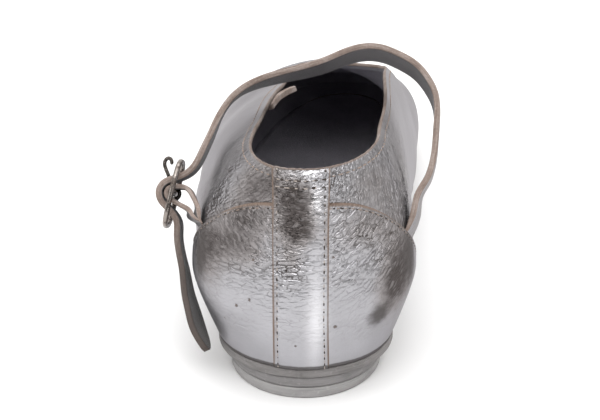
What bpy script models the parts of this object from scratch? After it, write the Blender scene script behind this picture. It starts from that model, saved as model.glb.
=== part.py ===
"""Left ankle-strap flat of worn metallic leather on a low stacked heel.

The shoe is worked out in millimetres in its last's own frame: the back of the heel is at y = 0, the toe
points along +y, the lateral side is -x, the medial side +x, and the floor is z = 0.
"""
import bpy
import bmesh
import numpy as np
from mathutils import Matrix, Vector

MM = 0.001
GAP = 0.3

# Driving sizes of the last
LENGTH = 246.0
HEEL_CENTRE = 35.0
BALL = {-1: 152.0, 1: 172.0}
SOLE_BACK = 5.5
SOLE_TIP = 240.0
TOE_ROUND = 2.25
TOE_SWING = 6.5
SWING_FROM = 100.0
COLLAR_BACK = 4.0
COLLAR_ROUND = {-1: 2.5, 1: 2.0}
CORNER_Y = 128.0
THROAT_Y = 152.0
THROAT_ROUND = 2.6
THROAT_SLOPE = -0.22
POLE_SLOPE = -0.42
POLE_Y = 190.0

# Shares of the way round one side, from the back of the heel to the toe, where the parts of the outline meet
AT_HEEL = 0.20
AT_CORNER = 0.60
AT_BALL = 0.72
AT_POLE = 0.86
# Share from which the ribs start to follow the slope of the vamp's crest
AT_FOLLOW = 0.5
# Ribs of the upper in each of those stretches, and its rows below and above the widest height
UPPER_COLUMNS = (9, 11, 6, 5, 7)
UPPER_ROWS = (6, 9)
# Columns and rows of the other sheets, and points of the heel's round back and its breast
PANEL_GRID = (22, 11)
STRIP_GRID = (6, 14)
SOLE_GRID = (6, 44)
STRAP_GRID = (2, 84)
FOLD_GRID = (2, 44)
HEEL_POINTS = (25, 9)

# Sole and heel
SOLE_THICK = 3.0
SOLE_RIM = 1.2
HEEL_SEAT = 10.3
ARCH_FROM = 58.0
ARCH_TO = 142.0
SPRING_FROM = 180.0
TOE_SPRING = 7.5
TOP_LIFT_THICK = 3.6
HEEL_BREAST = 58.0
HEEL_HOLLOW = 4.0
HEEL_DEPTH = 29.0
HEEL_HALF = {"floor": 23.2, "joint": 23.7, "seat": 24.5}
HEEL_BACK = {"floor": 5.4, "joint": 5.2, "seat": 4.8}
INSOLE_THICK = 1.8

# Walls and straps
UPPER_WALL = 1.8
LOWER_CURVE = 0.35
# Heel panels and back strip; both start at this level, just above the sole
PANEL_THICK = 0.8
STRIP_THICK = 1.0
STRIP_HALF = 8.3
OVERLAY_LEVEL = -0.94
STRAP_WIDE = 13.0
STRAP_THICK = 2.0
# Share of the strap's length at which its tip starts to round off
STRAP_TIP = 0.965
FOLD_THICK = 1.5

# Buckle
WIRE_RADIUS = 0.85
BAR_RADIUS = 0.83
PRONG_RADIUS = 0.6
HOLE_PLAY = 0.45
HOLE_END = -6.5
RING_ALONG = 10.2
RING_ACROSS = 9.0
RING_ROUND = 3.2
BUCKLE_CENTRE = (-41.5, 44.0, 50.4)
STRAP_LEAN = 65.0
BUCKLE_TURN = -12.3
# Slot for the prong in the folded strap: sizes along, off and across the frame, and its centre
SLOT_SIZE = (7.4, 8.0, 2.2)
SLOT_CENTRE = (-0.4, 0.4)

# Half widths of each side: distance from the heel's back, at the sole's edge, at the widest height
SIDE = {
    -1: np.array([
        (35, 26.0, 34.0),
        (60, 26.0, 36.2),
        (90, 25.5, 37.9),
        (122, 29.5, 38.8),
        (152, 33.5, 40.0),
    ]),
    1: np.array([
        (35, 26.0, 32.9),
        (60, 24.0, 32.7),
        (95, 19.5, 32.0),
        (135, 25.0, 33.0),
        (172, 29.5, 32.0),
    ]),
}
# Height of the widest point: distance, height
WIDEST = np.array([(0, 31), (35, 33), (60, 32), (95, 29), (135, 23.5), (170, 19), (215, 15.5), (246, 13.5)])
# Collar edge of each side: distance, half width, height
COLLAR = {
    -1: np.array([
        (35, 17.0, 73.2),
        (60, 15.6, 70.0),
        (85, 14.0, 67.0),
        (105, 12.6, 63.0),
        (128, 11.0, 58.5),
        (152, 11.0, 55.5),
    ]),
    1: np.array([
        (35, 22.4, 75.4),
        (60, 23.6, 73.8),
        (85, 23.5, 71.6),
        (105, 22.8, 68.5),
        (128, 22.5, 62.5),
        (152, 22.5, 55.5),
    ]),
}
COLLAR_BACK_Z = 75.6
# Crest of the vamp in front of the throat: distance, height
CREST = np.array([(152, 55.5), (170, 50), (190, 42)])
# How far each rib leans in at its top: share of the way round, degrees, fullness of its curve on the lateral
# and on the medial side
LEAN = np.array([
    (0, 30, 2, 2),
    (0.2, 50, 2.1, 2),
    (0.4, 60, 2.4, 1.85),
    (0.6, 72, 1.8, 1.75),
    (0.72, 90, 1.75, 1.75),
    (0.86, 90, 1.9, 1.9),
    (1, 90, 2, 2),
])
# Top edge of the heel panels: distance of the rib's widest point, height
PANEL_EDGE = np.array([
    (0, 65.5),
    (5, 64.2),
    (10, 61),
    (17, 55),
    (26, 46.6),
    (36, 37),
    (46, 26.5),
    (58, 13.5),
])
# Outer rear edge of the ankle strap up to the buckle: x, y, z, lean of its width, flare of its front edge
STRAP_RISE = [
    (32.8, 25.0, 49.0, 66, 2.1),
    (35.0, 33.5, 55.4, 64, 0.9),
    (38.5, 41.5, 59.7, 60, 0.2),
    (40.6, 55.0, 70.9, 52, 0.0),
    (40.4, 60.5, 77.4, 49, 0.0),
    (35.9, 66.0, 85.0, 49, 0.0),
    (26.6, 69.5, 90.2, 51, 0.0),
    (17.6, 70.0, 91.9, 52, 0.0),
    (2.2, 69.0, 86.7, 55, 0.0),
    (-10.7, 66.0, 83.9, 58, -0.5),
    (-22.1, 60.0, 80.4, 60, -2.0),
    (-29.4, 51.5, 73.0, 61, -1.0),
]
# Its way through the buckle: along the frame, off the frame's plane
STRAP_PASS = [
    (-12.6, -4.4),
    (-8.6, -2.7),
    (-6.0, 0.4),
    (-3.6, 3.75),
    (0.0, 5.2),
    (3.6, 3.75),
    (6.0, 0.4),
    (8.6, -2.4),
    (12.0, -3.4),
]
# Its free tail, in the columns of STRAP_RISE
STRAP_TAIL = [
    (-39.6, 29.5, 35.1, 65, 0.2),
    (-37.9, 25.0, 24.5, 65, 1.4),
    (-35.6, 20.0, 16.8, 65, 2.5),
    (-32.2, 15.0, 10.0, 65, 2.8),
]
# Layers of the folded buckle strap, from the quarter to the bar: along the frame, off its plane, its slide
# back across the frame, flare of its front edge
FOLD_INNER = [
    (7.2, -11.5, 10.0, -2.9),
    (5.4, -10.95, 9.2, -2.5),
    (3.0, -9.7, 7.4, -1.6),
    (0.2, -7.5, 4.6, -0.7),
    (-2.2, -4.5, 2.0, -0.3),
    (-2.5, -2.4, 0.6, -0.1),
]
FOLD_OUTER = [
    (7.2, -9.65, 10.0, -2.9),
    (5.6, -8.95, 9.0, -2.5),
    (4.2, -7.5, 7.0, -1.5),
    (3.1, -4.6, 3.8, -0.7),
    (2.5, -1.8, 1.2, -0.2),
]
# Degrees round the bar at which the fold starts and ends
FOLD_TURN = (172, 8)
# Prong: degrees round the bar of its eye, then its shank and curled tip along the frame and off its plane
PRONG_TURN = (25, -250)
PRONG_ROUTE = [(-5.0, 2.95), (-7.4, 4.6), (-9.5, 5.0), (-10.4, 4.1), (-9.9, 3.2), (-8.6, 2.9)]

# Finishes: colour, roughness, metallic
FINISH = {
    "silver_leather": ((0.52, 0.52, 0.53), 0.38, 0.65),
    "sole_leather": ((0.30, 0.27, 0.25), 0.75, 0.0),
    "heel_stack": ((0.22, 0.20, 0.19), 0.75, 0.0),
    "sock_lining": ((0.05, 0.05, 0.055), 0.85, 0.0),
    "aged_steel": ((0.42, 0.40, 0.38), 0.35, 1.0),
}


def cubic(table, column, start=None, end=None):
    """Smooth curve through one column of a table, with set slopes at its ends or free ones."""
    x = table[:, 0]
    y = table[:, column]
    n = len(x)
    h = np.diff(x)
    rise = np.diff(y) / h
    system = np.zeros((n, n))
    right = np.zeros(n)
    for i in range(1, n - 1):
        system[i, i - 1:i + 2] = h[i - 1], 2 * (h[i - 1] + h[i]), h[i]
        right[i] = 6 * (rise[i] - rise[i - 1])
    system[0, 0] = system[-1, -1] = 1
    if start is not None:
        system[0, :2] = 2 * h[0], h[0]
        right[0] = 6 * (rise[0] - start)
    if end is not None:
        system[-1, -2:] = h[-1], 2 * h[-1]
        right[-1] = 6 * (end - rise[-1])
    bend = np.linalg.solve(system, right)

    def at(where):
        where = np.clip(np.asarray(where, float), x[0], x[-1])
        i = np.clip(np.searchsorted(x, where) - 1, 0, n - 2)
        left, ahead = where - x[i], x[i + 1] - where
        return ((bend[i] * ahead ** 3 + bend[i + 1] * left ** 3) / (6 * h[i])
                + (y[i] / h[i] - bend[i] * h[i] / 6) * ahead
                + (y[i + 1] / h[i] - bend[i + 1] * h[i] / 6) * left)
    return at


def smooth_step(share):
    share = np.clip(share, 0, 1)
    return share * share * (3 - 2 * share)


def oval(share, half, depth, rounding=2.0):
    """Point on a quarter of a rounded oval: share 0 on its depth axis, 1 on its width axis."""
    turn = np.radians(90) * np.clip(share, 0, 1)
    across, along = np.sin(turn), np.cos(turn)
    reach = (across ** rounding + along ** rounding) ** (-1 / rounding)
    return half * reach * across, depth * reach * along


def middle(y):
    """Sideways swing of the last's middle line towards the big toe."""
    return TOE_SWING * np.clip((y - SWING_FROM) / (LENGTH - SWING_FROM), 0, None) ** 2


def by_stretch(way, limits, values):
    """Picks the value of the stretch that each share of the way falls in."""
    result = values[-1]
    for limit, value in reversed(list(zip(limits, values))):
        result = np.where(way < limit, value, result)
    return result


def outline(side, way, column, tip, back, grow=0.0):
    """Outline of one side, from the heel's back (way 0) to the toe (way 1)."""
    half = cubic(SIDE[side], column, 0, 0)
    heel_x, heel_y = oval(way / AT_HEEL, half(HEEL_CENTRE) + grow, HEEL_CENTRE - back + grow)
    along = HEEL_CENTRE + (BALL[side] - HEEL_CENTRE) * np.clip((way - AT_HEEL) / (AT_BALL - AT_HEEL), 0, 1)
    toe_share = 1 - (way - AT_BALL) / (1 - AT_BALL)
    toe_x, toe_y = oval(toe_share, half(BALL[side]) + grow, tip - BALL[side] + grow, TOE_ROUND)
    limits = (AT_HEEL, AT_BALL)
    x = by_stretch(way, limits, (heel_x, half(along) + grow, toe_x))
    y = by_stretch(way, limits, (HEEL_CENTRE - heel_y, along, BALL[side] + toe_y))
    return side * x + middle(y), y


def sole_height(y):
    """Top of the sole: level heel seat, arch, level forefoot and toe spring."""
    fall = smooth_step((y - ARCH_FROM) / (ARCH_TO - ARCH_FROM))
    spring = TOE_SPRING * np.clip((y - SPRING_FROM) / (LENGTH - SPRING_FROM), 0, None) ** 2
    return HEEL_SEAT + (SOLE_THICK - HEEL_SEAT) * fall + spring


def crest(y):
    return cubic(CREST, 1, THROAT_SLOPE, POLE_SLOPE)(y)


def top_height(side, y):
    """Height of the collar edge behind the throat and of the vamp's crest in front of it."""
    rows = np.vstack([(0, 0, COLLAR_BACK_Z), (COLLAR_BACK, 0, COLLAR_BACK_Z), COLLAR[side]])
    return np.where(y < THROAT_Y, cubic(rows, 2, 0, THROAT_SLOPE)(y), crest(y))


def top_line(side, way):
    """Collar edge round the heel, along the side and across the throat, then the crest down to the toe.

    The steps shrink to nothing at both ends of the crest, so that the vamp has no crease there.
    """
    half = cubic(COLLAR[side], 1, 0, 0)
    heel_x, heel_y = oval(way / AT_HEEL, half(HEEL_CENTRE), HEEL_CENTRE - COLLAR_BACK, COLLAR_ROUND[side])
    along = HEEL_CENTRE + (CORNER_Y - HEEL_CENTRE) * np.clip((way - AT_HEEL) / (AT_CORNER - AT_HEEL), 0, 1)
    throat_share = np.clip(1 - (way - AT_CORNER) / (AT_BALL - AT_CORNER), 0, 1)
    eased = throat_share ** 2 * (2 - throat_share)
    throat_x, throat_y = oval(eased, half(CORNER_Y), THROAT_Y - CORNER_Y, THROAT_ROUND)
    crest_y = THROAT_Y + (POLE_Y - THROAT_Y) * smooth_step((way - AT_BALL) / (AT_POLE - AT_BALL))
    limits = (AT_HEEL, AT_CORNER, AT_BALL)
    x = by_stretch(way, limits, (heel_x, half(along), throat_x, 0.0))
    y = by_stretch(way, limits, (HEEL_CENTRE - heel_y, along, CORNER_Y + throat_y, crest_y))
    return side * x + middle(y), y, top_height(side, y)


def last_surface(side, way, level):
    """Outer surface of the upper: level -1 at the sole, 0 at the widest height, 1 at the collar or crest."""
    way, level = np.broadcast_arrays(np.asarray(way, float), np.asarray(level, float))
    sole_x, sole_y = outline(side, way, 1, SOLE_TIP, SOLE_BACK)
    wide_x, wide_y = outline(side, way, 2, LENGTH, 0.0)
    top_x, top_y, top_z = top_line(side, way)
    sole_z = sole_height(sole_y) + GAP
    wide_z = cubic(WIDEST, 1)(wide_y)

    down = np.clip(-level, 0, 1)
    tuck = (1 + LOWER_CURVE) * down ** 2 / (down + LOWER_CURVE)
    low = np.stack([wide_x + (sole_x - wide_x) * tuck,
                    wide_y + (sole_y - wide_y) * tuck,
                    wide_z + (sole_z - wide_z) * down], -1)

    lean_top = np.radians(np.clip(cubic(LEAN, 1, None, 0)(way), 0, 90))
    power = 2 / cubic(LEAN, 2 if side < 0 else 3)(way)
    lean = np.clip(level, 0, 1) * lean_top
    inward = (1 - np.cos(lean) ** power) / (1 - np.clip(np.cos(lean_top), 0, 1) ** power)
    rise = (np.sin(lean) / np.sin(lean_top)) ** power
    x, y = wide_x + (top_x - wide_x) * inward, wide_y + (top_y - wide_y) * inward
    near = np.minimum(top_y, POLE_Y - 0.5)
    slope = top_height(side, near + 0.5) - top_height(side, near - 0.5)
    follow = smooth_step((way - AT_FOLLOW) / (AT_BALL - AT_FOLLOW)) * np.sin(lean) ** 2
    high = np.stack([x, y, wide_z + (top_z - wide_z) * rise + slope * (y - top_y) * follow], -1)
    return np.where(level[..., None] < 0, low, high)


def off_surface(side, way, level, distance):
    """The upper's outer surface, moved out along its normal."""
    step = 0.002
    here = last_surface(side, way, level)
    round_it = last_surface(side, way + step, level) - last_surface(side, np.maximum(way - step, 0), level)
    up_it = last_surface(side, way, level + step) - last_surface(side, way, level - step)
    normal = side * np.cross(round_it, up_it)
    normal = normal / np.linalg.norm(normal, axis=-1, keepdims=True)
    return here + distance * normal


def level_at(side, way, height):
    """Level at which the rib reaches a height."""
    wide_y = outline(side, way, 2, LENGTH, 0.0)[1]
    wide_z = cubic(WIDEST, 1)(wide_y)
    sole_z = sole_height(outline(side, way, 1, SOLE_TIP, SOLE_BACK)[1]) + GAP
    top_z = top_line(side, way)[2]
    lean_top = np.radians(cubic(LEAN, 1, None, 0)(way))
    share = np.clip((height - wide_z) / (top_z - wide_z), 0, 1)
    return np.where(height < wide_z, (height - wide_z) / (wide_z - sole_z),
                    np.arcsin(share * np.sin(lean_top)) / lean_top)


def way_at_half_width(side, level, half):
    """Share of the way round the heel at which the surface is so far from its middle line."""
    way = np.full(np.shape(level), 0.05)
    for _ in range(6):
        way = way * half / np.abs(last_surface(side, way, level)[..., 0])
    return way


def finish_material(name):
    colour, roughness, metallic = FINISH[name]
    material = bpy.data.materials.get(name) or bpy.data.materials.new(name)
    material.use_nodes = True
    shader = material.node_tree.nodes["Principled BSDF"]
    shader.inputs["Base Color"].default_value = (*colour, 1)
    shader.inputs["Roughness"].default_value = roughness
    shader.inputs["Metallic"].default_value = metallic
    return material


def add_object(name, bm, finish, frame, collection):
    """Puts a mesh worked out in millimetres into the scene, in metres."""
    bmesh.ops.scale(bm, vec=(MM, MM, MM), verts=bm.verts)
    mesh = bpy.data.meshes.new(name)
    bm.to_mesh(mesh)
    bm.free()
    mesh.shade_smooth()
    mesh.set_sharp_from_angle(angle=np.radians(40))
    if finish:
        mesh.materials.append(finish_material(finish))
    obj = bpy.data.objects.new(name, mesh)
    collection.objects.link(obj)
    obj.parent = frame
    return obj


def bent_sheet(grid, place):
    """A flat grid bent to shape: place takes shares across and up the grid and gives points."""
    columns, rows = grid
    bm = bmesh.new()
    bmesh.ops.create_grid(bm, x_segments=columns, y_segments=rows, size=0.5)
    flat = np.array([vert.co for vert in bm.verts])
    across = np.round((flat[:, 0] + 0.5) * columns) / columns
    up = np.round((flat[:, 1] + 0.5) * rows) / rows
    for vert, point in zip(bm.verts, place(across, up)):
        vert.co = point
    bmesh.ops.remove_doubles(bm, verts=bm.verts, dist=0.01)
    return bm


def thicken(obj, thickness, offset):
    wall = obj.modifiers.new("wall", "SOLIDIFY")
    wall.thickness = thickness * MM
    wall.offset = offset
    wall.use_even_offset = True


def make_upper(frame, parts):
    """Hollow vamp and quarters, ribs running from the sole to the collar or the crest."""
    def place(across, up):
        turn = across * 2 - 1
        ways = (0, AT_HEEL, AT_CORNER, AT_BALL, AT_POLE, 1)
        way = np.interp(np.abs(turn) * columns, np.cumsum((0,) + UPPER_COLUMNS), ways)
        level = np.interp(up * rows, np.cumsum((0,) + UPPER_ROWS), (-1, 0, 1))
        sides = [last_surface(side, way, level) for side in (-1, 1)]
        return np.where((turn < 0)[:, None], *sides)
    columns, rows = sum(UPPER_COLUMNS), sum(UPPER_ROWS)
    upper = add_object("upper", bent_sheet((2 * columns, rows), place), "silver_leather", frame, parts)
    thicken(upper, UPPER_WALL, -1)


def make_panels(frame, parts):
    """Heel panels over the quarters, their top edge sweeping down to the sole, and the strip between them."""
    edge = cubic(PANEL_EDGE, 1, 0)
    last_way = AT_HEEL + (AT_BALL - AT_HEEL) * (PANEL_EDGE[-1, 0] - HEEL_CENTRE) / (BALL[-1] - HEEL_CENTRE)
    for side, name in ((-1, "counter_lateral"), (1, "counter_medial")):
        def place(across, up, side=side):
            across = across if side == 1 else 1 - across
            way = last_way * across
            for _ in range(4):
                top = level_at(side, way, edge(outline(side, way, 2, LENGTH, 0.0)[1]))
                level = OVERLAY_LEVEL + (top - OVERLAY_LEVEL) * up
                first = way_at_half_width(side, level, STRIP_HALF + GAP)
                way = first + (last_way - first) * across
            return off_surface(side, way, level, GAP)
        panel = add_object(name, bent_sheet(PANEL_GRID, place), "silver_leather", frame, parts)
        thicken(panel, PANEL_THICK, 1)

    def place_strip(across, up):
        level = OVERLAY_LEVEL + (1 - OVERLAY_LEVEL) * up
        turn = across * 2 - 1
        sides = []
        for side in (-1, 1):
            way = way_at_half_width(side, level, STRIP_HALF) * np.abs(turn)
            sides.append(off_surface(side, way, level, GAP))
        return np.where((turn < 0)[:, None], *sides)
    strip = add_object("back_strip", bent_sheet(STRIP_GRID, place_strip), "silver_leather", frame, parts)
    thicken(strip, STRIP_THICK, 1)


def make_sole_layer(name, finish, grow, bottom, thickness, frame, parts):
    """One layer of the sole, with the last's outline and the profile of its arch and toe spring."""
    def place(across, up):
        ends = []
        for side in (-1, 1):
            x, y = outline(side, up, 1, SOLE_TIP, SOLE_BACK, grow)
            ends.append(np.stack([x, y], -1))
        plan = ends[0] + (ends[1] - ends[0]) * across[:, None]
        return np.column_stack([plan, sole_height(plan[:, 1]) + bottom + thickness])
    layer = add_object(name, bent_sheet(SOLE_GRID, place), finish, frame, parts)
    thicken(layer, thickness, -1)


def heel_outline(level):
    """Plan of the heel at one of its levels: round back, straight sides and a hollowed breast."""
    half, back = HEEL_HALF[level], HEEL_BACK[level]
    turns = np.radians(np.linspace(-90, 90, HEEL_POINTS[0]))
    round_back = [(half * np.sin(a), back + HEEL_DEPTH - HEEL_DEPTH * np.cos(a)) for a in turns]
    across = np.linspace(1, -1, HEEL_POINTS[1])
    breast = [(half * s, HEEL_BREAST - HEEL_HOLLOW * (1 - s * s)) for s in across]
    return round_back + breast


def make_heel_layer(name, low, high, bottom, top, frame, parts):
    bm = bmesh.new()
    floor = bm.faces.new([bm.verts.new((x, y, bottom)) for x, y in heel_outline(low)])
    raised = bmesh.ops.extrude_face_region(bm, geom=[floor])["geom"]
    upper_plan = dict(zip(heel_outline(low), heel_outline(high)))
    for vert in (item for item in raised if isinstance(item, bmesh.types.BMVert)):
        nearest = min(upper_plan, key=lambda plan: (plan[0] - vert.co.x) ** 2 + (plan[1] - vert.co.y) ** 2)
        vert.co = (*upper_plan[nearest], top)
    bmesh.ops.recalc_face_normals(bm, faces=bm.faces)
    add_object(name, bm, "heel_stack", frame, parts)


def buckle_axes():
    """Directions of the buckle: down along its strap, out from the foot, and up across its width."""
    lean, turn = np.radians(STRAP_LEAN), np.radians(BUCKLE_TURN)
    across = np.array([0, -np.sin(lean), np.cos(lean)])
    down = np.array([0, -np.cos(lean), -np.sin(lean)])
    out = np.array([-1.0, 0, 0])
    along = down * np.cos(turn) - out * np.sin(turn)
    return along, np.cross(along, across), across


def buckle_point(along, off, across=0.0):
    axes = buckle_axes()
    return np.array(BUCKLE_CENTRE) + along * axes[0] + off * axes[1] + across * axes[2]


def through(points, count):
    """Evenly spaced points on the smooth curve through the given ones."""
    points = np.asarray(points, float)
    run = np.concatenate([[0], np.cumsum(np.linalg.norm(np.diff(points[:, :3], axis=0), axis=1))])
    table = np.column_stack([run, points])
    where = np.linspace(0, run[-1], count)
    return np.column_stack([cubic(table, column)(where) for column in range(1, table.shape[1])])


def edge_rows(rows):
    """Rear and front edge of the strap, side by side, from rows of position, lean and flare."""
    result = []
    for x, y, z, lean, flare in rows:
        lean = np.radians(lean)
        width = np.array([0, np.sin(lean), -np.cos(lean)]) * STRAP_WIDE
        rear = np.array([x, y, z])
        result.append(np.concatenate([rear, rear + width + (flare, 0, 0)]))
    return result


def prong_route():
    """Middle line of the prong in the buckle's plane: its eye round the bar, then its shank and tip."""
    eye = WIRE_RADIUS + GAP + PRONG_RADIUS
    hook = [(eye * np.cos(a), eye * np.sin(a)) for a in np.radians(np.linspace(*PRONG_TURN, 16))]
    shank = through([hook[-1]] + PRONG_ROUTE, 17)
    return hook, [tuple(point) for point in shank]


def make_ankle_strap(frame, parts, cutters):
    half = STRAP_WIDE / 2
    passing = [np.concatenate([buckle_point(a, n, half), buckle_point(a, n, -half)]) for a, n in STRAP_PASS]
    rows = edge_rows(STRAP_RISE) + passing + edge_rows(STRAP_TAIL)
    steps = STRAP_GRID[1]
    edges = through(rows, steps + 1)

    def place(across, up):
        row = edges[np.round(up * steps).astype(int)]
        tip = np.clip((up - STRAP_TIP) / (1 - STRAP_TIP), 0, 1) ** 2 / 2
        share = tip + (1 - 2 * tip) * across
        return row[:, :3] + (row[:, 3:] - row[:, :3]) * share[:, None]
    strap = add_object("ankle_strap", bent_sheet(STRAP_GRID, place), "silver_leather", frame, parts)
    thicken(strap, STRAP_THICK, -1)
    shank = [buckle_point(*point) for point in prong_route()[1] if point[0] > HOLE_END]
    hole = wire_object("hole", shank, PRONG_RADIUS + HOLE_PLAY)
    add_cutter(strap, "prong_hole", hole, "DIFFERENCE", frame, cutters)


def wire_object(name, points, radius, closed=False):
    """A round wire along points, as a closed mesh in metres."""
    curve = bpy.data.curves.new(name, "CURVE")
    curve.dimensions = "3D"
    curve.bevel_depth = radius * MM
    curve.bevel_resolution = 2
    curve.use_fill_caps = not closed
    spline = curve.splines.new("POLY")
    spline.points.add(len(points) - 1)
    spline.use_cyclic_u = closed
    for knot, point in zip(spline.points, points):
        knot.co = (*(np.asarray(point) * MM), 1)
    holder = bpy.data.objects.new(name + "_path", curve)
    bpy.context.scene.collection.objects.link(holder)
    bpy.context.view_layer.update()
    mesh = bpy.data.meshes.new_from_object(holder.evaluated_get(bpy.context.evaluated_depsgraph_get()))
    bpy.data.objects.remove(holder)
    bm = bmesh.new()
    bm.from_mesh(mesh)
    bpy.data.meshes.remove(mesh)
    bmesh.ops.remove_doubles(bm, verts=bm.verts, dist=0.000005)
    bmesh.ops.recalc_face_normals(bm, faces=bm.faces)
    bmesh.ops.scale(bm, vec=(1 / MM,) * 3, verts=bm.verts)
    return bm


def add_cutter(obj, name, bm, operation, frame, cutters):
    tool = add_object(name, bm, None, frame, cutters)
    tool.hide_render = True
    tool.display_type = "WIRE"
    boolean = obj.modifiers.new(name, "BOOLEAN")
    boolean.operation = operation
    boolean.object = tool


def make_buckle_strap(frame, parts, cutters):
    """Strap folded round the buckle's bar, both layers running to the quarter, slotted for the prong."""
    steps = FOLD_GRID[1]
    half = STRAP_WIDE / 2
    rows = []
    bend = WIRE_RADIUS + GAP + FOLD_THICK / 2
    turns = np.radians(np.linspace(*FOLD_TURN, 7))
    arc = [(bend * np.cos(a), bend * np.sin(a), 0.0, 0.0) for a in turns]
    for along, off, slide, flare in FOLD_INNER + arc + FOLD_OUTER[::-1]:
        rear, front = buckle_point(along, off, slide + half), buckle_point(along, off, slide - half)
        rows.append(np.concatenate([rear, front + (flare, 0, 0)]))
    edges = through(rows, steps + 1)

    def place(across, up):
        row = edges[np.round(up * steps).astype(int)]
        return row[:, :3] + (row[:, 3:] - row[:, :3]) * across[:, None]
    fold = add_object("buckle_strap", bent_sheet(FOLD_GRID, place), "silver_leather", frame, parts)
    thicken(fold, FOLD_THICK, 0)

    bm = bmesh.new()
    bmesh.ops.create_cube(bm, size=1)
    bmesh.ops.scale(bm, vec=SLOT_SIZE, verts=bm.verts)
    axes = Matrix([Vector(axis) for axis in buckle_axes()]).transposed().to_4x4()
    bmesh.ops.transform(bm, matrix=Matrix.Translation(buckle_point(*SLOT_CENTRE)) @ axes, verts=bm.verts)
    bmesh.ops.recalc_face_normals(bm, faces=bm.faces)
    add_cutter(fold, "prong_slot", bm, "DIFFERENCE", frame, cutters)


def make_buckle(frame, parts, cutters):
    """Oval wire frame with its centre bar, and the prong that turns on the bar."""
    shares = np.linspace(0, 1, 9, endpoint=False)
    half_ring = [oval(share, RING_ACROSS, RING_ALONG, RING_ROUND) for share in shares]
    for share in shares:
        across, along = oval(1 - share, RING_ACROSS, RING_ALONG, RING_ROUND)
        half_ring.append((across, -along))
    loop = half_ring + [(-across, -along) for across, along in half_ring]
    ring = wire_object("ring", [buckle_point(along, 0, across) for across, along in loop], WIRE_RADIUS, True)
    wire_frame = add_object("buckle_frame", ring, "aged_steel", frame, parts)
    ends = [buckle_point(0, 0, side * RING_ACROSS) for side in (-1, 1)]
    add_cutter(wire_frame, "centre_bar", wire_object("bar", ends, BAR_RADIUS), "UNION", frame, cutters)

    hook, shank = prong_route()
    route = [buckle_point(*point) for point in hook + shank[1:]]
    add_object("buckle_prong", wire_object("prong", route, PRONG_RADIUS), "aged_steel", frame, parts)


def stand_on_floor(frame, parts):
    """Moves the shoe so that the middle of its box, on the floor, is the origin."""
    bpy.context.view_layer.update()
    depsgraph = bpy.context.evaluated_depsgraph_get()
    corners = []
    for obj in parts.objects:
        if obj.type == "MESH":
            evaluated = obj.evaluated_get(depsgraph)
            corners += [vert.co[:] for vert in evaluated.data.vertices]
    corners = np.array(corners)
    low, high = corners.min(axis=0), corners.max(axis=0)
    frame.location = (-(low[0] + high[0]) / 2, -(low[1] + high[1]) / 2, 0)


def main():
    for obj in list(bpy.data.objects):
        bpy.data.objects.remove(obj)
    parts = bpy.data.collections.new("ankle_strap_flat")
    cutters = bpy.data.collections.new("cutters")
    for collection in (parts, cutters):
        bpy.context.scene.collection.children.link(collection)
    frame = bpy.data.objects.new("shoe_frame", None)
    parts.objects.link(frame)

    lift_bottom = TOP_LIFT_THICK + GAP
    lift_top = HEEL_SEAT - SOLE_THICK - GAP
    make_heel_layer("heel_top_lift", "floor", "joint", 0, TOP_LIFT_THICK, frame, parts)
    make_heel_layer("heel_lift", "joint", "seat", lift_bottom, lift_top, frame, parts)
    make_sole_layer("outsole", "sole_leather", SOLE_RIM, -SOLE_THICK, SOLE_THICK, frame, parts)
    make_sole_layer("insole", "sock_lining", -(UPPER_WALL + 2 * GAP), GAP, INSOLE_THICK, frame, parts)
    make_upper(frame, parts)
    make_panels(frame, parts)
    make_ankle_strap(frame, parts, cutters)
    make_buckle_strap(frame, parts, cutters)
    make_buckle(frame, parts, cutters)
    stand_on_floor(frame, parts)


main()
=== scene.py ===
"""Looks of the left ankle-strap flat: worn silver leather, raw edges, a low stacked heel and an aged buckle.

The pieces are worked out in millimetres in the last's own frame: the back of the heel is at y = 0, the toe
points along +y, the lateral side is -x, the medial side +x, and the floor is z = 0.
"""

import bmesh
import bpy
import numpy as np
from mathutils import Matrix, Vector


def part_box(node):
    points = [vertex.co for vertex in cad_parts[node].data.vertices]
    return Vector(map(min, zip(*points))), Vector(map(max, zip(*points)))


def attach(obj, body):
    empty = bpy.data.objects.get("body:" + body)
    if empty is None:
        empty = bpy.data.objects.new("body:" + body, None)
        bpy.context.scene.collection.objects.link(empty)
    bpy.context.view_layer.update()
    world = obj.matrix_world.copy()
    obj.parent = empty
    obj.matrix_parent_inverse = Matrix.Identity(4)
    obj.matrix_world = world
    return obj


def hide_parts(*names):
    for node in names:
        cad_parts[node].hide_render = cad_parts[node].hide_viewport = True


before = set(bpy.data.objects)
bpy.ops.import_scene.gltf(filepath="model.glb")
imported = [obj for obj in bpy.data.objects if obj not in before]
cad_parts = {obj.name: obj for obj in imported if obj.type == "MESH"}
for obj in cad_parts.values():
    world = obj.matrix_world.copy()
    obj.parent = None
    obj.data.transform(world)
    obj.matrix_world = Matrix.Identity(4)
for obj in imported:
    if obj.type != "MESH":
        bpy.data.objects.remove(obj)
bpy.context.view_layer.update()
MM = 0.001

# Driving sizes of the last
LENGTH = 246.0
HEEL_CENTRE = 35.0
BALL = {-1: 152.0, 1: 172.0}
SOLE_BACK = 5.5
SOLE_TIP = 240.0
TOE_ROUND = 2.25
TOE_SWING = 6.5
SWING_FROM = 100.0
COLLAR_BACK = 4.0
COLLAR_ROUND = {-1: 2.5, 1: 2.0}
CORNER_Y = 128.0
THROAT_Y = 152.0
THROAT_ROUND = 2.6
THROAT_SLOPE = -0.22
POLE_SLOPE = -0.42
POLE_Y = 190.0
COLLAR_BACK_Z = 75.6
LOWER_CURVE = 0.35
GAP = 0.3

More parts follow.
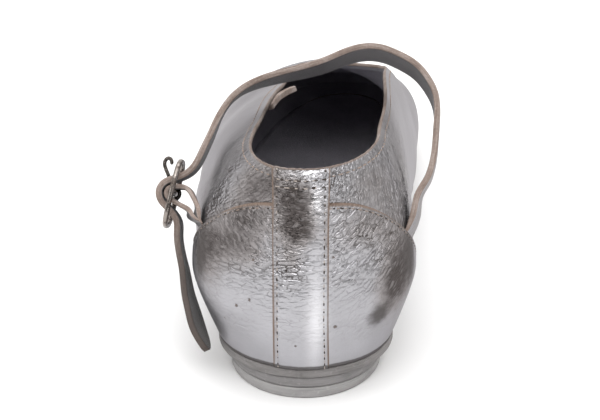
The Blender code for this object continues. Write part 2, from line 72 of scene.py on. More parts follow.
# Shares of the way round one side, from the back of the heel to the toe, where the parts of the outline meet
AT_HEEL = 0.20
AT_FOLLOW = 0.5
AT_CORNER = 0.60
AT_BALL = 0.72
AT_POLE = 0.86

# Sole and heel
SOLE_THICK = 3.0
SOLE_RIM = 1.2
HEEL_SEAT = 10.3
ARCH_FROM = 58.0
ARCH_TO = 142.0
SPRING_FROM = 180.0
TOE_SPRING = 7.5
TOP_LIFT_THICK = 3.6
HEEL_BREAST = 58.0
HEEL_HOLLOW = 4.0
HEEL_DEPTH = 29.0
HEEL_HALF = {"floor": 23.2, "joint": 23.7, "seat": 24.5}
HEEL_BACK = {"floor": 5.4, "joint": 5.2, "seat": 4.8}
LIFT_GAP = 0.1
INSOLE_THICK = 1.8
# How far the sock's edge runs in under the wall of the upper
SOCK_UNDER = 0.2
# Hollows that heel and ball have pressed into the sock: distance, reach, depth
SOCK_PRINTS = [(38, 24, 0.5), (165, 24, 0.6)]

# Walls and straps
UPPER_WALL = 1.8
PANEL_OUT = 1.1
STRIP_OUT = 1.45
STRIP_HALF = 8.3
PANEL_HALF = 7.6
OVERLAY_LEVEL = -0.985
# How deep the inner faces of strip and panels sit in the upper
OVERLAY_SINK = 0.3
STRAP_WIDE = 13.0
STRAP_THICK = 2.0
FOLD_THICK = 1.5
EDGE_BULGE = 0.12
# Lengths of the ankle strap's pointed tip and soiled tail, and over which both straps' ends are skived thin
TAIL_TIP = 12.0
TAIL_SOILED = 48.0
STRAP_SKIVE = (12.0, 0.0)
FOLD_SKIVE = (6.0, 6.0)

# Seams: how far in from the raw edge, share of the leather's thickness at which they lie, levels between
# which they run up the strip, pitch of the stitches and seed of their unevenness
SEAM_IN = 1.6
SEAM_SINK = 0.76
SEAM_LEVELS = (-0.97, 0.985)
STITCH_PITCH = 2.5
STITCH_SEED = 4
# Rows across the top of the strip: how far under the collar, how far they end before the seams up the
# strip, share of the leather's thickness at which they lie
COLLAR_ROWS = (3.0, 5.2)
COLLAR_SHORT = 0.4
COLLAR_SINK = 0.97
# Row along the collar: how far under its edge, how far off the leather
TOPLINE_IN = 2.7
TOPLINE_OFF = 0.02
# Length and width of each thread, each needle hole, and each thread along the collar
THREAD_SIZE = (1.5, 0.42)
HOLE_SIZE = (1.3, 0.5)
TOPLINE_SIZE = (1.8, 0.4)

# Buckle
WIRE_RADIUS = 0.85
BAR_RADIUS = 0.83
PRONG_RADIUS = 0.6
WIRE_SIDES = 16
WIRE_TURNS = np.linspace(0, 2 * np.pi, WIRE_SIDES, endpoint=False)
RING_ALONG = 10.2
RING_ACROSS = 9.0
RING_ROUND = 3.2
BUCKLE_CENTRE = (-41.5, 44.0, 50.4)
STRAP_LEAN = 65.0
BUCKLE_TURN = -12.3

# Half widths of each side: distance from the heel's back, at the sole's edge, at the widest height
SIDE = {
    -1: np.array([(35, 26, 34), (60, 26, 36.2), (90, 25.5, 37.9), (122, 29.5, 38.8), (152, 33.5, 40)]),
    1: np.array([(35, 26, 32.9), (60, 24, 32.7), (95, 19.5, 32), (135, 25, 33), (172, 29.5, 32)]),
}
# Height of the widest point: distance, height
WIDEST = np.array([(0, 31), (35, 33), (60, 32), (95, 29), (135, 23.5), (170, 19), (215, 15.5), (246, 13.5)])
# Collar edge of each side: distance, half width, height
COLLAR = {
    -1: np.array([(35, 17, 73.2), (60, 15.6, 70), (85, 14, 67), (105, 12.6, 63), (128, 11, 58.5),
                  (152, 11, 55.5)]),
    1: np.array([(35, 22.4, 75.4), (60, 23.6, 73.8), (85, 23.5, 71.6), (105, 22.8, 68.5), (128, 22.5, 62.5),
                 (152, 22.5, 55.5)]),
}
# Crest of the vamp in front of the throat: distance, height
CREST = np.array([(152, 55.5), (170, 50), (190, 42)])
# How far each rib leans in at its top: share of the way round, degrees, fullness of its curve on the lateral
# and on the medial side
LEAN = np.array([(0, 30, 2, 2), (0.2, 50, 2.1, 2), (0.4, 60, 2.4, 1.85), (0.6, 72, 1.8, 1.75),
                 (0.72, 90, 1.75, 1.75), (0.86, 90, 1.9, 1.9), (1, 90, 2, 2)])
# Top edge of the heel panels: distance of the rib's widest point, height
PANEL_EDGE = np.array([(0, 65.5), (5, 64.2), (10, 61), (17, 55), (26, 46.6), (36, 37), (46, 26.5),
                       (58, 13.5)])
# Outer rear edge of the ankle strap up to the buckle: x, y, z, lean of its width, flare of its front edge.
# Its first row is tucked under the heel panel.
STRAP_RISE = [
    (30.2, 20.5, 44.5, 66, 3.2),
    (32.8, 25.0, 49.0, 66, 2.1),
    (35.0, 33.5, 55.4, 64, 0.9),
    (38.5, 41.5, 59.7, 60, 0.2),
    (40.6, 55.0, 70.9, 52, 0.0),
    (40.4, 60.5, 77.4, 49, 0.0),
    (35.9, 66.0, 85.0, 49, 0.0),
    (26.6, 69.5, 90.2, 51, 0.0),
    (17.6, 70.0, 91.9, 52, 0.0),
    (2.2, 69.0, 86.7, 55, 0.0),
    (-10.7, 66.0, 83.9, 58, -0.5),
    (-22.1, 60.0, 80.4, 60, -2.0),
    (-29.4, 51.5, 73.0, 61, -1.0),
]
# Its way through the buckle: along the frame, off the frame's plane
STRAP_PASS = [(-12.6, -4.4), (-8.6, -2.7), (-6, 0.4), (-3.6, 3.75), (0, 5.2), (3.6, 3.75), (6, 0.4),
              (8.6, -2.4), (12, -3.4)]
# Its free tail, in the columns of STRAP_RISE
STRAP_TAIL = [
    (-39.6, 29.5, 35.1, 65, 0.2),
    (-37.9, 25.0, 24.5, 65, 1.4),
    (-35.6, 20.0, 16.8, 65, 2.5),
    (-32.2, 15.0, 10.0, 65, 2.8),
]
# Layers of the folded buckle strap, from the quarter to the bar: along the frame, off its plane, its slide
# back across the frame, flare of its front edge. The first row of each is tucked under the heel panel.
FOLD_INNER = [(7.4, -13.5, 10.6, -2.4), (5.4, -10.95, 9.2, -2.5), (3, -9.7, 7.4, -1.6),
              (0.2, -7.5, 4.6, -0.7), (-2.2, -4.5, 2, -0.3), (-2.5, -2.4, 0.6, -0.1)]
FOLD_OUTER = [(7.4, -12.1, 10.6, -2.4), (5.6, -8.95, 9, -2.5), (4.2, -7.5, 7, -1.5), (3.1, -4.6, 3.8, -0.7),
              (2.5, -1.8, 1.2, -0.2)]
# Degrees round the bar at which the fold starts and ends
FOLD_TURN = (172, 8)
# Top edge of the tab at the collar, how its lower edge hangs from it, and its thickness
TAB_TOP = [(-14.2, 84.0, 65.4), (-13.0, 94.0, 64.2), (-10.9, 105.0, 62.2), (-8.4, 114.0, 60.4)]
TAB_HANG = (0.6, 0.0, -1.9)
TAB_THICK = 2.2
# Prong: degrees round the bar of its eye, then its shank and curled tip along the frame and off its plane
PRONG_TURN = (25, -250)
PRONG_ROUTE = [(-5, 2.95), (-7.4, 4.6), (-9.5, 5), (-10.4, 4.1), (-9.9, 3.2), (-8.6, 2.9)]

# Creases of heel and quarters: from (round the shoe, height), to (round, height), half width, depth.
# The way round is measured at the widest height from the heel's back, lateral side negative.
HEEL_CREASES = [
    (-12, 52, -40, 50, 1.2, 0.20),
    (-14, 45, -44, 42, 1.1, 0.16),
    (-20, 58, -42, 53, 1.1, 0.18),
    (-11, 39, -32, 36, 1.0, 0.10),
    (10, 42, 36, 55, 1.2, 0.18),
    (10, 50, 30, 60, 1.1, 0.16),
    (12, 36, 42, 45, 1.1, 0.12),
    (14, 57, 24, 62, 1.0, 0.12),
    (-6, 58, 4, 57, 0.9, 0.12),
    (-7, 50, 2, 48, 0.9, 0.12),
    (-7, 44, 3, 43, 0.9, 0.10),
    (18, 64, 22, 74, 1.1, 0.14),
    (27, 60, 34, 73, 1.2, 0.16),
    (38, 55, 46, 72, 1.3, 0.18),
    (52, 48, 60, 70, 1.5, 0.20),
    (-38, 60, -88, 50, 3.6, 0.28),
    (-48, 50, -112, 38, 4.2, 0.40),
    (-20, 66, -30, 72, 1.4, 0.16),
]
# Creases across the ball of the vamp: from (x, y), to (x, y), half width, depth
VAMP_CREASES = [
    (-36, 150, 14, 176, 3.2, 0.55),
    (-34, 162, 18, 184, 2.8, 0.40),
    (-30, 141, -12, 160, 2.6, 0.35),
    (34, 150, 12, 166, 2.8, 0.35),
]
# Brown tarnish on the quarters and a smudge, with painted shade (a painted dark reflection down the strip's
# top, painted shade along the lateral counter's top and near both counters' outer edges): round the shoe,
# height, reach round, reach up, amount
TARNISH_AND_SHADE = [
    (-2, 67, 6.5, 6, 1.1),
    (-1, 58, 5.5, 5, 1.0),
    (-3, 49, 4, 5, 0.4),
    (-13, 71, 7, 7, 0.52),
    (-24, 69, 10, 8, 0.62),
    (-18, 59, 12, 5, 0.5),
    (-35, 44, 9, 12, 0.75),
    (-21, 50, 11, 7, 0.65),
    (36, 42, 10, 13, 0.68),
    (22, 56, 12, 7, 0.45),
    (30, 68, 14, 7, 0.4),
    (31, 33, 8, 8, 0.6),
    (62, 60, 22, 10, 0.3),
]
# Matt dark patches: painted shade near both counters' outer edges, and a rub where the foil is gone, in the
# same columns
RUBS_AND_SHADE = [
    (-39, 42, 6, 11, 0.95),
    (42, 40, 6.5, 12, 0.9),
    (26, 27, 5, 4.5, 0.95),
]
# Places painted bright: painted highlights low and high on the strip, and foil worn bright at the collar's
# top, in the same columns
BRIGHT_AND_HIGHLIGHTS = [
    (4.5, 28, 2.6, 16, 0.75),
    (5.2, 66, 1.7, 5, 1.0),
    (4, 75, 4, 1.4, 1.0),
]
# Places where the leather is calm, with little crepe, in the same columns
CALM = [
    (5, 44, 3.2, 14, 0.8),
    (-1, 66, 4, 4, 0.5),
    (24, 60, 10, 3.5, 0.4),
]
# Dark specks in the foil: round the shoe, height, radius
SPECKS = [
    (-20.1, 31.0, 0.65),
    (-15.5, 34.0, 0.65),
    (-1.6, 20.2, 0.55),
    (-26.6, 24.6, 0.4),
    (-15.0, 47.0, 0.6),
    (10.4, 26.5, 0.75),
    (10.0, 49.0, 0.6),
]
# The ways the crepe runs: its attribute, degrees from level
FOLD_LIES = [("level", 4), ("falling", -34), ("rising", 33), ("steep", 66)]
# How far the outlines of the specks are ragged
SPECK_RAG = 0.9
# Level under which the foil is painted dark as the shade where the upper meets the sole, and over how much
# of a level this painted shade comes in
SOLE_SHADE_FROM = -0.89
SOLE_SHADE_OVER = 0.07
# How soiled the raw edges of the upper and of the pieces laid over it are
UPPER_SOIL = 0.35
OVERLAY_SOIL = 0.95

# Camera: where the eye stands, the point it looks at, and its lens on a sensor 36 mm wide
EYE = (34.8, -707.0, 368.0)
LOOK_AT = (-3.2, 62.0, 38.0)
LENS = 158.0


def cubic(table, column, start=None, end=None):
    """Smooth curve through one column of a table, with set slopes at its ends or free ones."""
    x = table[:, 0]
    y = table[:, column]
    n = len(x)
    h = np.diff(x)
    rise = np.diff(y) / h
    system = np.zeros((n, n))
    right = np.zeros(n)
    for i in range(1, n - 1):
        system[i, i - 1:i + 2] = h[i - 1], 2 * (h[i - 1] + h[i]), h[i]
        right[i] = 6 * (rise[i] - rise[i - 1])
    system[0, 0] = system[-1, -1] = 1
    if start is not None:
        system[0, :2] = 2 * h[0], h[0]
        right[0] = 6 * (rise[0] - start)
    if end is not None:
        system[-1, -2:] = h[-1], 2 * h[-1]
        right[-1] = 6 * (end - rise[-1])
    bend = np.linalg.solve(system, right)

    def at(where):
        where = np.clip(np.asarray(where, float), x[0], x[-1])
        i = np.clip(np.searchsorted(x, where) - 1, 0, n - 2)
        left, ahead = where - x[i], x[i + 1] - where
        return ((bend[i] * ahead ** 3 + bend[i + 1] * left ** 3) / (6 * h[i])
                + (y[i] / h[i] - bend[i] * h[i] / 6) * ahead
                + (y[i + 1] / h[i] - bend[i + 1] * h[i] / 6) * left)
    return at


def smooth_step(share):
    share = np.clip(share, 0, 1)
    return share * share * (3 - 2 * share)


def oval(share, half, depth, rounding=2.0):
    """Point on a quarter of a rounded oval: share 0 on its depth axis, 1 on its width axis."""
    turn = np.radians(90) * np.clip(share, 0, 1)
    across, along = np.sin(turn), np.cos(turn)
    reach = (across ** rounding + along ** rounding) ** (-1 / rounding)
    return half * reach * across, depth * reach * along


def middle(y):
    """Sideways swing of the last's middle line towards the big toe."""
    return TOE_SWING * np.clip((y - SWING_FROM) / (LENGTH - SWING_FROM), 0, None) ** 2


def unit(vectors):
    return vectors / np.linalg.norm(vectors, axis=-1, keepdims=True)


def by_stretch(way, limits, values):
    """Picks the value of the stretch that each share of the way falls in."""
    result = values[-1]
    for limit, value in reversed(list(zip(limits, values))):
        result = np.where(way < limit, value, result)
    return result


def outline(side, way, column, tip, back, grow=0.0):
    """Outline of one side, from the heel's back (way 0) to the toe (way 1)."""
    half = cubic(SIDE[side], column, 0, 0)
    heel_x, heel_y = oval(way / AT_HEEL, half(HEEL_CENTRE) + grow, HEEL_CENTRE - back + grow)
    along = HEEL_CENTRE + (BALL[side] - HEEL_CENTRE) * np.clip((way - AT_HEEL) / (AT_BALL - AT_HEEL), 0, 1)
    toe_share = 1 - (way - AT_BALL) / (1 - AT_BALL)
    toe_x, toe_y = oval(toe_share, half(BALL[side]) + grow, tip - BALL[side] + grow, TOE_ROUND)
    limits = (AT_HEEL, AT_BALL)
    x = by_stretch(way, limits, (heel_x, half(along) + grow, toe_x))
    y = by_stretch(way, limits, (HEEL_CENTRE - heel_y, along, BALL[side] + toe_y))
    return side * x + middle(y), y


def sole_height(y):
    """Top of the sole: level heel seat, arch, level forefoot and toe spring."""
    fall = smooth_step((y - ARCH_FROM) / (ARCH_TO - ARCH_FROM))
    spring = TOE_SPRING * np.clip((y - SPRING_FROM) / (LENGTH - SPRING_FROM), 0, None) ** 2
    return HEEL_SEAT + (SOLE_THICK - HEEL_SEAT) * fall + spring


def crest(y):
    return cubic(CREST, 1, THROAT_SLOPE, POLE_SLOPE)(y)


def top_height(side, y):
    """Height of the collar edge behind the throat and of the vamp's crest in front of it."""
    rows = np.vstack([(0, 0, COLLAR_BACK_Z), (COLLAR_BACK, 0, COLLAR_BACK_Z), COLLAR[side]])
    return np.where(y < THROAT_Y, cubic(rows, 2, 0, THROAT_SLOPE)(y), crest(y))


def top_line(side, way):
    """Collar edge round the heel, along the side and across the throat, then the crest down to the toe."""
    half = cubic(COLLAR[side], 1, 0, 0)
    heel_x, heel_y = oval(way / AT_HEEL, half(HEEL_CENTRE), HEEL_CENTRE - COLLAR_BACK, COLLAR_ROUND[side])
    along = HEEL_CENTRE + (CORNER_Y - HEEL_CENTRE) * np.clip((way - AT_HEEL) / (AT_CORNER - AT_HEEL), 0, 1)
    throat_share = np.clip(1 - (way - AT_CORNER) / (AT_BALL - AT_CORNER), 0, 1)
    eased = throat_share ** 2 * (2 - throat_share)
    throat_x, throat_y = oval(eased, half(CORNER_Y), THROAT_Y - CORNER_Y, THROAT_ROUND)
    crest_y = THROAT_Y + (POLE_Y - THROAT_Y) * smooth_step((way - AT_BALL) / (AT_POLE - AT_BALL))
    limits = (AT_HEEL, AT_CORNER, AT_BALL)
    x = by_stretch(way, limits, (heel_x, half(along), throat_x, 0.0))
    y = by_stretch(way, limits, (HEEL_CENTRE - heel_y, along, CORNER_Y + throat_y, crest_y))
    return side * x + middle(y), y, top_height(side, y)


def last_surface(side, way, level):
    """Outer surface of the upper: level -1 at the sole, 0 at the widest height, 1 at the collar or crest."""
    way, level = np.broadcast_arrays(np.asarray(way, float), np.asarray(level, float))
    sole_x, sole_y = outline(side, way, 1, SOLE_TIP, SOLE_BACK)
    wide_x, wide_y = outline(side, way, 2, LENGTH, 0.0)
    top_x, top_y, top_z = top_line(side, way)
    sole_z = sole_height(sole_y) + GAP
    wide_z = cubic(WIDEST, 1)(wide_y)

    down = np.clip(-level, 0, 1)
    tuck = (1 + LOWER_CURVE) * down ** 2 / (down + LOWER_CURVE)
    low = np.stack([wide_x + (sole_x - wide_x) * tuck,
                    wide_y + (sole_y - wide_y) * tuck,
                    wide_z + (sole_z - wide_z) * down], -1)

    lean_top = np.radians(np.clip(cubic(LEAN, 1, None, 0)(way), 0, 90))
    power = 2 / cubic(LEAN, 2 if side < 0 else 3)(way)
    lean = np.clip(level, 0, 1) * lean_top
    inward = (1 - np.clip(np.cos(lean), 0, 1) ** power) / (1 - np.clip(np.cos(lean_top), 0, 1) ** power)
    rise = (np.sin(lean) / np.sin(lean_top)) ** power
    x, y = wide_x + (top_x - wide_x) * inward, wide_y + (top_y - wide_y) * inward
    near = np.minimum(top_y, POLE_Y - 0.5)
    slope = top_height(side, near + 0.5) - top_height(side, near - 0.5)
    follow = smooth_step((way - AT_FOLLOW) / (AT_BALL - AT_FOLLOW)) * np.sin(lean) ** 2
    high = np.stack([x, y, wide_z + (top_z - wide_z) * rise + slope * (y - top_y) * follow], -1)
    return np.where(level[..., None] < 0, low, high)


def last_normal(side, way, level):
    """Outward direction of the last's surface."""
    step = 0.002
    level = np.clip(level, -1 + step, 1 - 5 * step)
    round_it = last_surface(side, way + step, level) - last_surface(side, np.maximum(way - step, 0), level)
    up_it = last_surface(side, way, level + step) - last_surface(side, way, level - step)
    return unit(side * np.cross(round_it, up_it))


def level_at(side, way, height):
    """Level at which the rib reaches a height."""
    wide_y = outline(side, way, 2, LENGTH, 0.0)[1]
    wide_z = cubic(WIDEST, 1)(wide_y)
    sole_z = sole_height(outline(side, way, 1, SOLE_TIP, SOLE_BACK)[1]) + GAP
    top_z = top_line(side, way)[2]
    lean_top = np.radians(cubic(LEAN, 1, None, 0)(way))
    share = np.clip((height - wide_z) / (top_z - wide_z), 0, 1)
    return np.where(height < wide_z, (height - wide_z) / (wide_z - sole_z),
                    np.arcsin(share * np.sin(lean_top)) / lean_top)


def way_at_half_width(side, level, half):
    """Share of the way round the heel at which the surface is so far from its middle line."""
    way = np.full(np.shape(level), 0.05)
    for _ in range(6):
        way = way * half / np.abs(last_surface(side, way, level)[..., 0])
    return way


def round_length(side):
    """Distance round one side at the widest height, as a table of shares of the way and millimetres."""
    ways = np.linspace(0, 1, 801)
    x, y = outline(side, ways, 2, LENGTH, 0.0)
    return ways, np.concatenate([[0], np.cumsum(np.hypot(np.diff(x), np.diff(y)))])


ROUND = {side: round_length(side) for side in (-1, 1)}


def lump(u, v, seed):
    """Smooth random relief from -1 to 1, with about one lump for each unit of u and v."""
    cells = 64
    heights = np.random.default_rng(seed).uniform(-1, 1, (cells, cells))
    i, j = np.floor(u).astype(int), np.floor(v).astype(int)
    a, b = smooth_step(u - i), smooth_step(v - j)
    i0, i1, j0, j1 = i % cells, (i + 1) % cells, j % cells, (j + 1) % cells
    low = heights[i0, j0] + (heights[i1, j0] - heights[i0, j0]) * a
    high = heights[i0, j1] + (heights[i1, j1] - heights[i0, j1]) * a
    return low + (high - low) * b


def crease(u, v, row):
    """One soft trough between two ridges, fading at its ends."""
    u0, v0, u1, v1, half, depth = row
    length = np.hypot(u1 - u0, v1 - v0)
    along = ((u - u0) * (u1 - u0) + (v - v0) * (v1 - v0)) / length
    bow = 0.08 * length * np.sin(np.pi * np.clip(along / length, 0, 1))
    waver = 0.5 * half * np.sin(along / (3 * half))
    off = ((v - v0) * (u1 - u0) - (u - u0) * (v1 - v0)) / length + bow + waver
    fade = smooth_step(along / (0.3 * length)) * smooth_step((length - along) / (0.3 * length))
    trough = np.exp(-(off / half) ** 2)
    ridges = 0.5 * np.exp(-((np.abs(off) - 2 * half) / half) ** 2)
    return depth * fade * (ridges - trough)


def dabs(table, around, height):
    """Sum of soft patches, each row with its place, reach and amount."""
    amount = np.zeros_like(around)
    for centre, level, reach, rise, most in table:
        amount = amount + most * np.exp(-((around - centre) / reach) ** 2 - ((height - level) / rise) ** 2)
    return np.clip(amount, 0, 1)


def crepe_amount(around, height):
    """Where the leather is finely wrinkled: heel and quarters above the calm lower third, fading forward."""
    band = 0.2 * smooth_step((height - 17) / 8) + 0.8 * smooth_step((height - 33) / 13)
    reach = np.where(around < 0, smooth_step((84 + around) / 44), smooth_step((112 - around) / 50))
    patchy = 0.85 + 0.35 * lump(around / 7 + 3, height / 6 + 5, 11) + 0.5 * np.exp(-((around + 4) / 4) ** 2)
    return np.clip(band * reach * patchy, 0, 1.3) * (1 - dabs(CALM, around, height))


def fold_lies(around, height, quarter):
    """Shares of the ways that the crepe runs, on the quarters or on the panels over them."""
    medial = smooth_step((around - 7) / 4)
    none = np.zeros_like(around)
    if quarter:
        lateral = smooth_step((-around - 7) / 4)
        shares = {"steep": 0.85 * medial, "rising": 0.15 * medial + 0.7 * lateral, "falling": none}
    else:
        beside = np.exp(-((around + 20) / 13) ** 2) * smooth_step((height - 44) / 8)
        shares = {"steep": none, "rising": medial, "falling": beside}
    shares["level"] = np.clip(1 - sum(shares.values()), 0, 1)
    return shares


def wrinkles(around, height):
    """Fine crepe, running level on the lateral side and rising away from the strip on the medial side."""
    tilt = np.where(around > 0, 0.38 * smooth_step(around / 12), -0.06)
    quarter = smooth_step((height - 60) / 10) * smooth_step((around - 10) / 8)
    level = height - tilt * around
    swirl = 1.4 * lump(around / 7, height / 5, 5)
    flat = np.abs(lump(around / 6.5, (level + swirl) / 1.9, 7))
    steep = np.abs(lump(around / 1.9 - height / 6 + swirl, height / 8, 9))
    fold = flat + (steep - flat) * quarter
    return 0.16 * (np.sqrt(fold + 0.02) - 0.55)


def relief(points, around):
    """How far the worn leather stands off the smooth last."""
    x, y, height = points[..., 0], points[..., 1], points[..., 2]
    heel = smooth_step((150 - np.abs(around)) / 40)
    off = 0.16 * lump(around / 13 + 20, height / 11 + 20, 3) * heel
    off = off + heel * crepe_amount(around, height) * wrinkles(around, height)
    for row in HEEL_CREASES:
        off = off + heel * crease(around, height, row)
    vamp = smooth_step((y - 120) / 30)
    off = off + vamp * 0.14 * lump(x / 16 + 30, y / 14 + 30, 4)
    for row in VAMP_CREASES:
        off = off + vamp * crease(x, y, row) * smooth_step((height - 18) / 10)
    return off


def leather_at(side, way, level):
    """Place on the last, outward direction, distance round the shoe and relief of the worn leather."""
    spot = last_surface(side, way, level)
    around = side * np.interp(way, *ROUND[side])
    return spot, last_normal(side, way, level), around, relief(spot, around)


def above_leather(side, way, level, off):
    """Points so far off the worn leather."""
    spot, normal, _, height = leather_at(side, way, level)
    return spot + normal * (height + off)[..., None]


def way_stops(heel, side, toe):
    """Shares of the way round one side, with so many points on its heel, its side and its toe."""
    return np.concatenate([np.linspace(0, AT_HEEL, heel)[:-1], np.linspace(AT_HEEL, AT_BALL, side)[:-1],
                           np.linspace(AT_BALL, 1, toe)])


# Meshes
low_corner, high_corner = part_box("heel_top_lift")
SHIFT = np.array([(low_corner.x + high_corner.x) / 2, low_corner.y - HEEL_BACK["joint"] * MM, 0])
# Vertices of a piece that lie closer together are joined
MERGE = 0.004


def in_frame(points):
    """From the last's frame in millimetres to the part's frame in metres."""
    return np.asarray(points, float) * MM + SHIFT


def quads(index, flip=False):
    """Faces of a grid of vertex numbers."""
    faces = np.stack([index[:-1, :-1], index[:-1, 1:], index[1:, 1:], index[1:, :-1]], -1).reshape(-1, 4)
    return faces[:, ::-1] if flip else faces


def wrap(index):
    """The grid with its first column once more at its end, so that its faces close round."""
    return np.hstack([index, index[:, :1]])


def add_object(name, data):
    made = bpy.data.objects.new(name, data)
    bpy.context.scene.collection.objects.link(made)
    return made


def add_mesh(name, points, groups, materials, attributes=None):
    """A piece from points in the last's frame and groups of faces, one group for each material."""
    mesh = bpy.data.meshes.new(name)
    faces = [[int(corner) for corner in face] for group in groups for face in group]
    mesh.from_pydata(in_frame(points).tolist(), [], faces)
    finish = np.repeat(np.arange(len(groups)), [len(group) for group in groups])
    mesh.polygons.foreach_set("material_index", finish.astype(np.int32))
    for key, values in (attributes or {}).items():
        values = np.asarray(values, np.float32)
        kind = "FLOAT_VECTOR" if values.ndim == 2 else "FLOAT"
        layer = mesh.attributes.new(key, kind, "POINT")
        layer.data.foreach_set("vector" if values.ndim == 2 else "value", values.ravel())
    bm = bmesh.new()
    bm.from_mesh(mesh)
    bmesh.ops.remove_doubles(bm, verts=bm.verts, dist=MERGE * MM)
    bmesh.ops.recalc_face_normals(bm, faces=bm.faces)
    bm.to_mesh(mesh)
    bm.free()
    mesh.shade_smooth()
    for material in materials:
        mesh.materials.append(material)
    return add_object(name, mesh)


def settle(piece, slot, *nodes):
    """Hands a finished piece to the frame."""
    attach(piece, "root")
    if nodes:
        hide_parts(*nodes)
    return piece


def spread(attributes, order):
    """Values of a grid's points, given on to the vertices made from these points, in their order."""
    size = max(order) + 1
    return {key: np.squeeze(values.reshape(size, -1)[order]) for key, values in attributes.items()}


def slab(name, outer, inner, materials, attributes):
    """A closed sheet between two grids of points, with a slightly rounded raw edge all round."""
    rows, columns = outer.shape[:2]
    size = rows * columns
    index = np.arange(size).reshape(rows, columns)
    loop = np.concatenate([index[0, :-1], index[:-1, -1], index[-1, :0:-1], index[:0:-1, 0]])
    flat_outer, flat_inner = outer.reshape(-1, 3), inner.reshape(-1, 3)
    row_in, column_in = (np.clip(np.arange(count), 1, count - 2) for count in (rows, columns))
    away = unit(flat_outer[loop] - flat_outer[index[row_in][:, column_in].reshape(-1)[loop]])
    rim = (flat_outer[loop] + flat_inner[loop]) / 2 + EDGE_BULGE * away
    points = np.vstack([flat_outer, flat_inner, rim])
    rim_index = 2 * size + np.arange(len(loop))
    bands = wrap(np.stack([loop, rim_index, size + loop]))
    groups = [quads(index), quads(bands), quads(size + index, True)]
    order = np.concatenate([index.ravel(), index.ravel(), loop])
    return add_mesh(name, points, groups, materials, spread(attributes, order))


def tube(name, rings, materials, ring_finish=None, attributes=None):
    """A closed body through rings of points with fans at its ends; each stretch of a ring has a material."""
    count, around = rings.shape[:2]
    ring_finish = ring_finish or [0] * around
    index = np.arange(count * around).reshape(count, around)
    wrapped = wrap(index)
    points = np.vstack([rings.reshape(-1, 3), rings[0].mean(0), rings[-1].mean(0)])
    groups = [[] for _ in materials]
    for column in range(around):
        groups[ring_finish[column]] += quads(wrapped[:, column:column + 2]).tolist()
    for ring, centre in ((index[0], count * around), (index[-1], count * around + 1)):
        for here, ahead in zip(ring, np.roll(ring, -1)):
            groups[ring_finish[0]].append([here, ahead, centre])
    order = np.append(index.ravel(), [0, count * around - 1])
    return add_mesh(name, points, groups, materials, spread(attributes or {}, order))


# Shader maths
class Socket:
    """An output of a node, so that shader maths is written as plain expressions."""

    def __init__(self, finish, socket):
        self.finish = finish
        self.socket = socket

    def math(self, operation, first, second):
        sockets = {"Value": first, "Value_001": second}
        return self.finish.node("ShaderNodeMath", {"operation": operation}, sockets, "Value")

    def __add__(self, other):
        return self.math("ADD", self, other)

    def __radd__(self, other):
        return self.math("ADD", other, self)

    def __sub__(self, other):
        return self.math("SUBTRACT", self, other)

    def __rsub__(self, other):
        return self.math("SUBTRACT", other, self)

    def __mul__(self, other):
        return self.math("MULTIPLY", self, other)

    def __rmul__(self, other):
        return self.math("MULTIPLY", other, self)


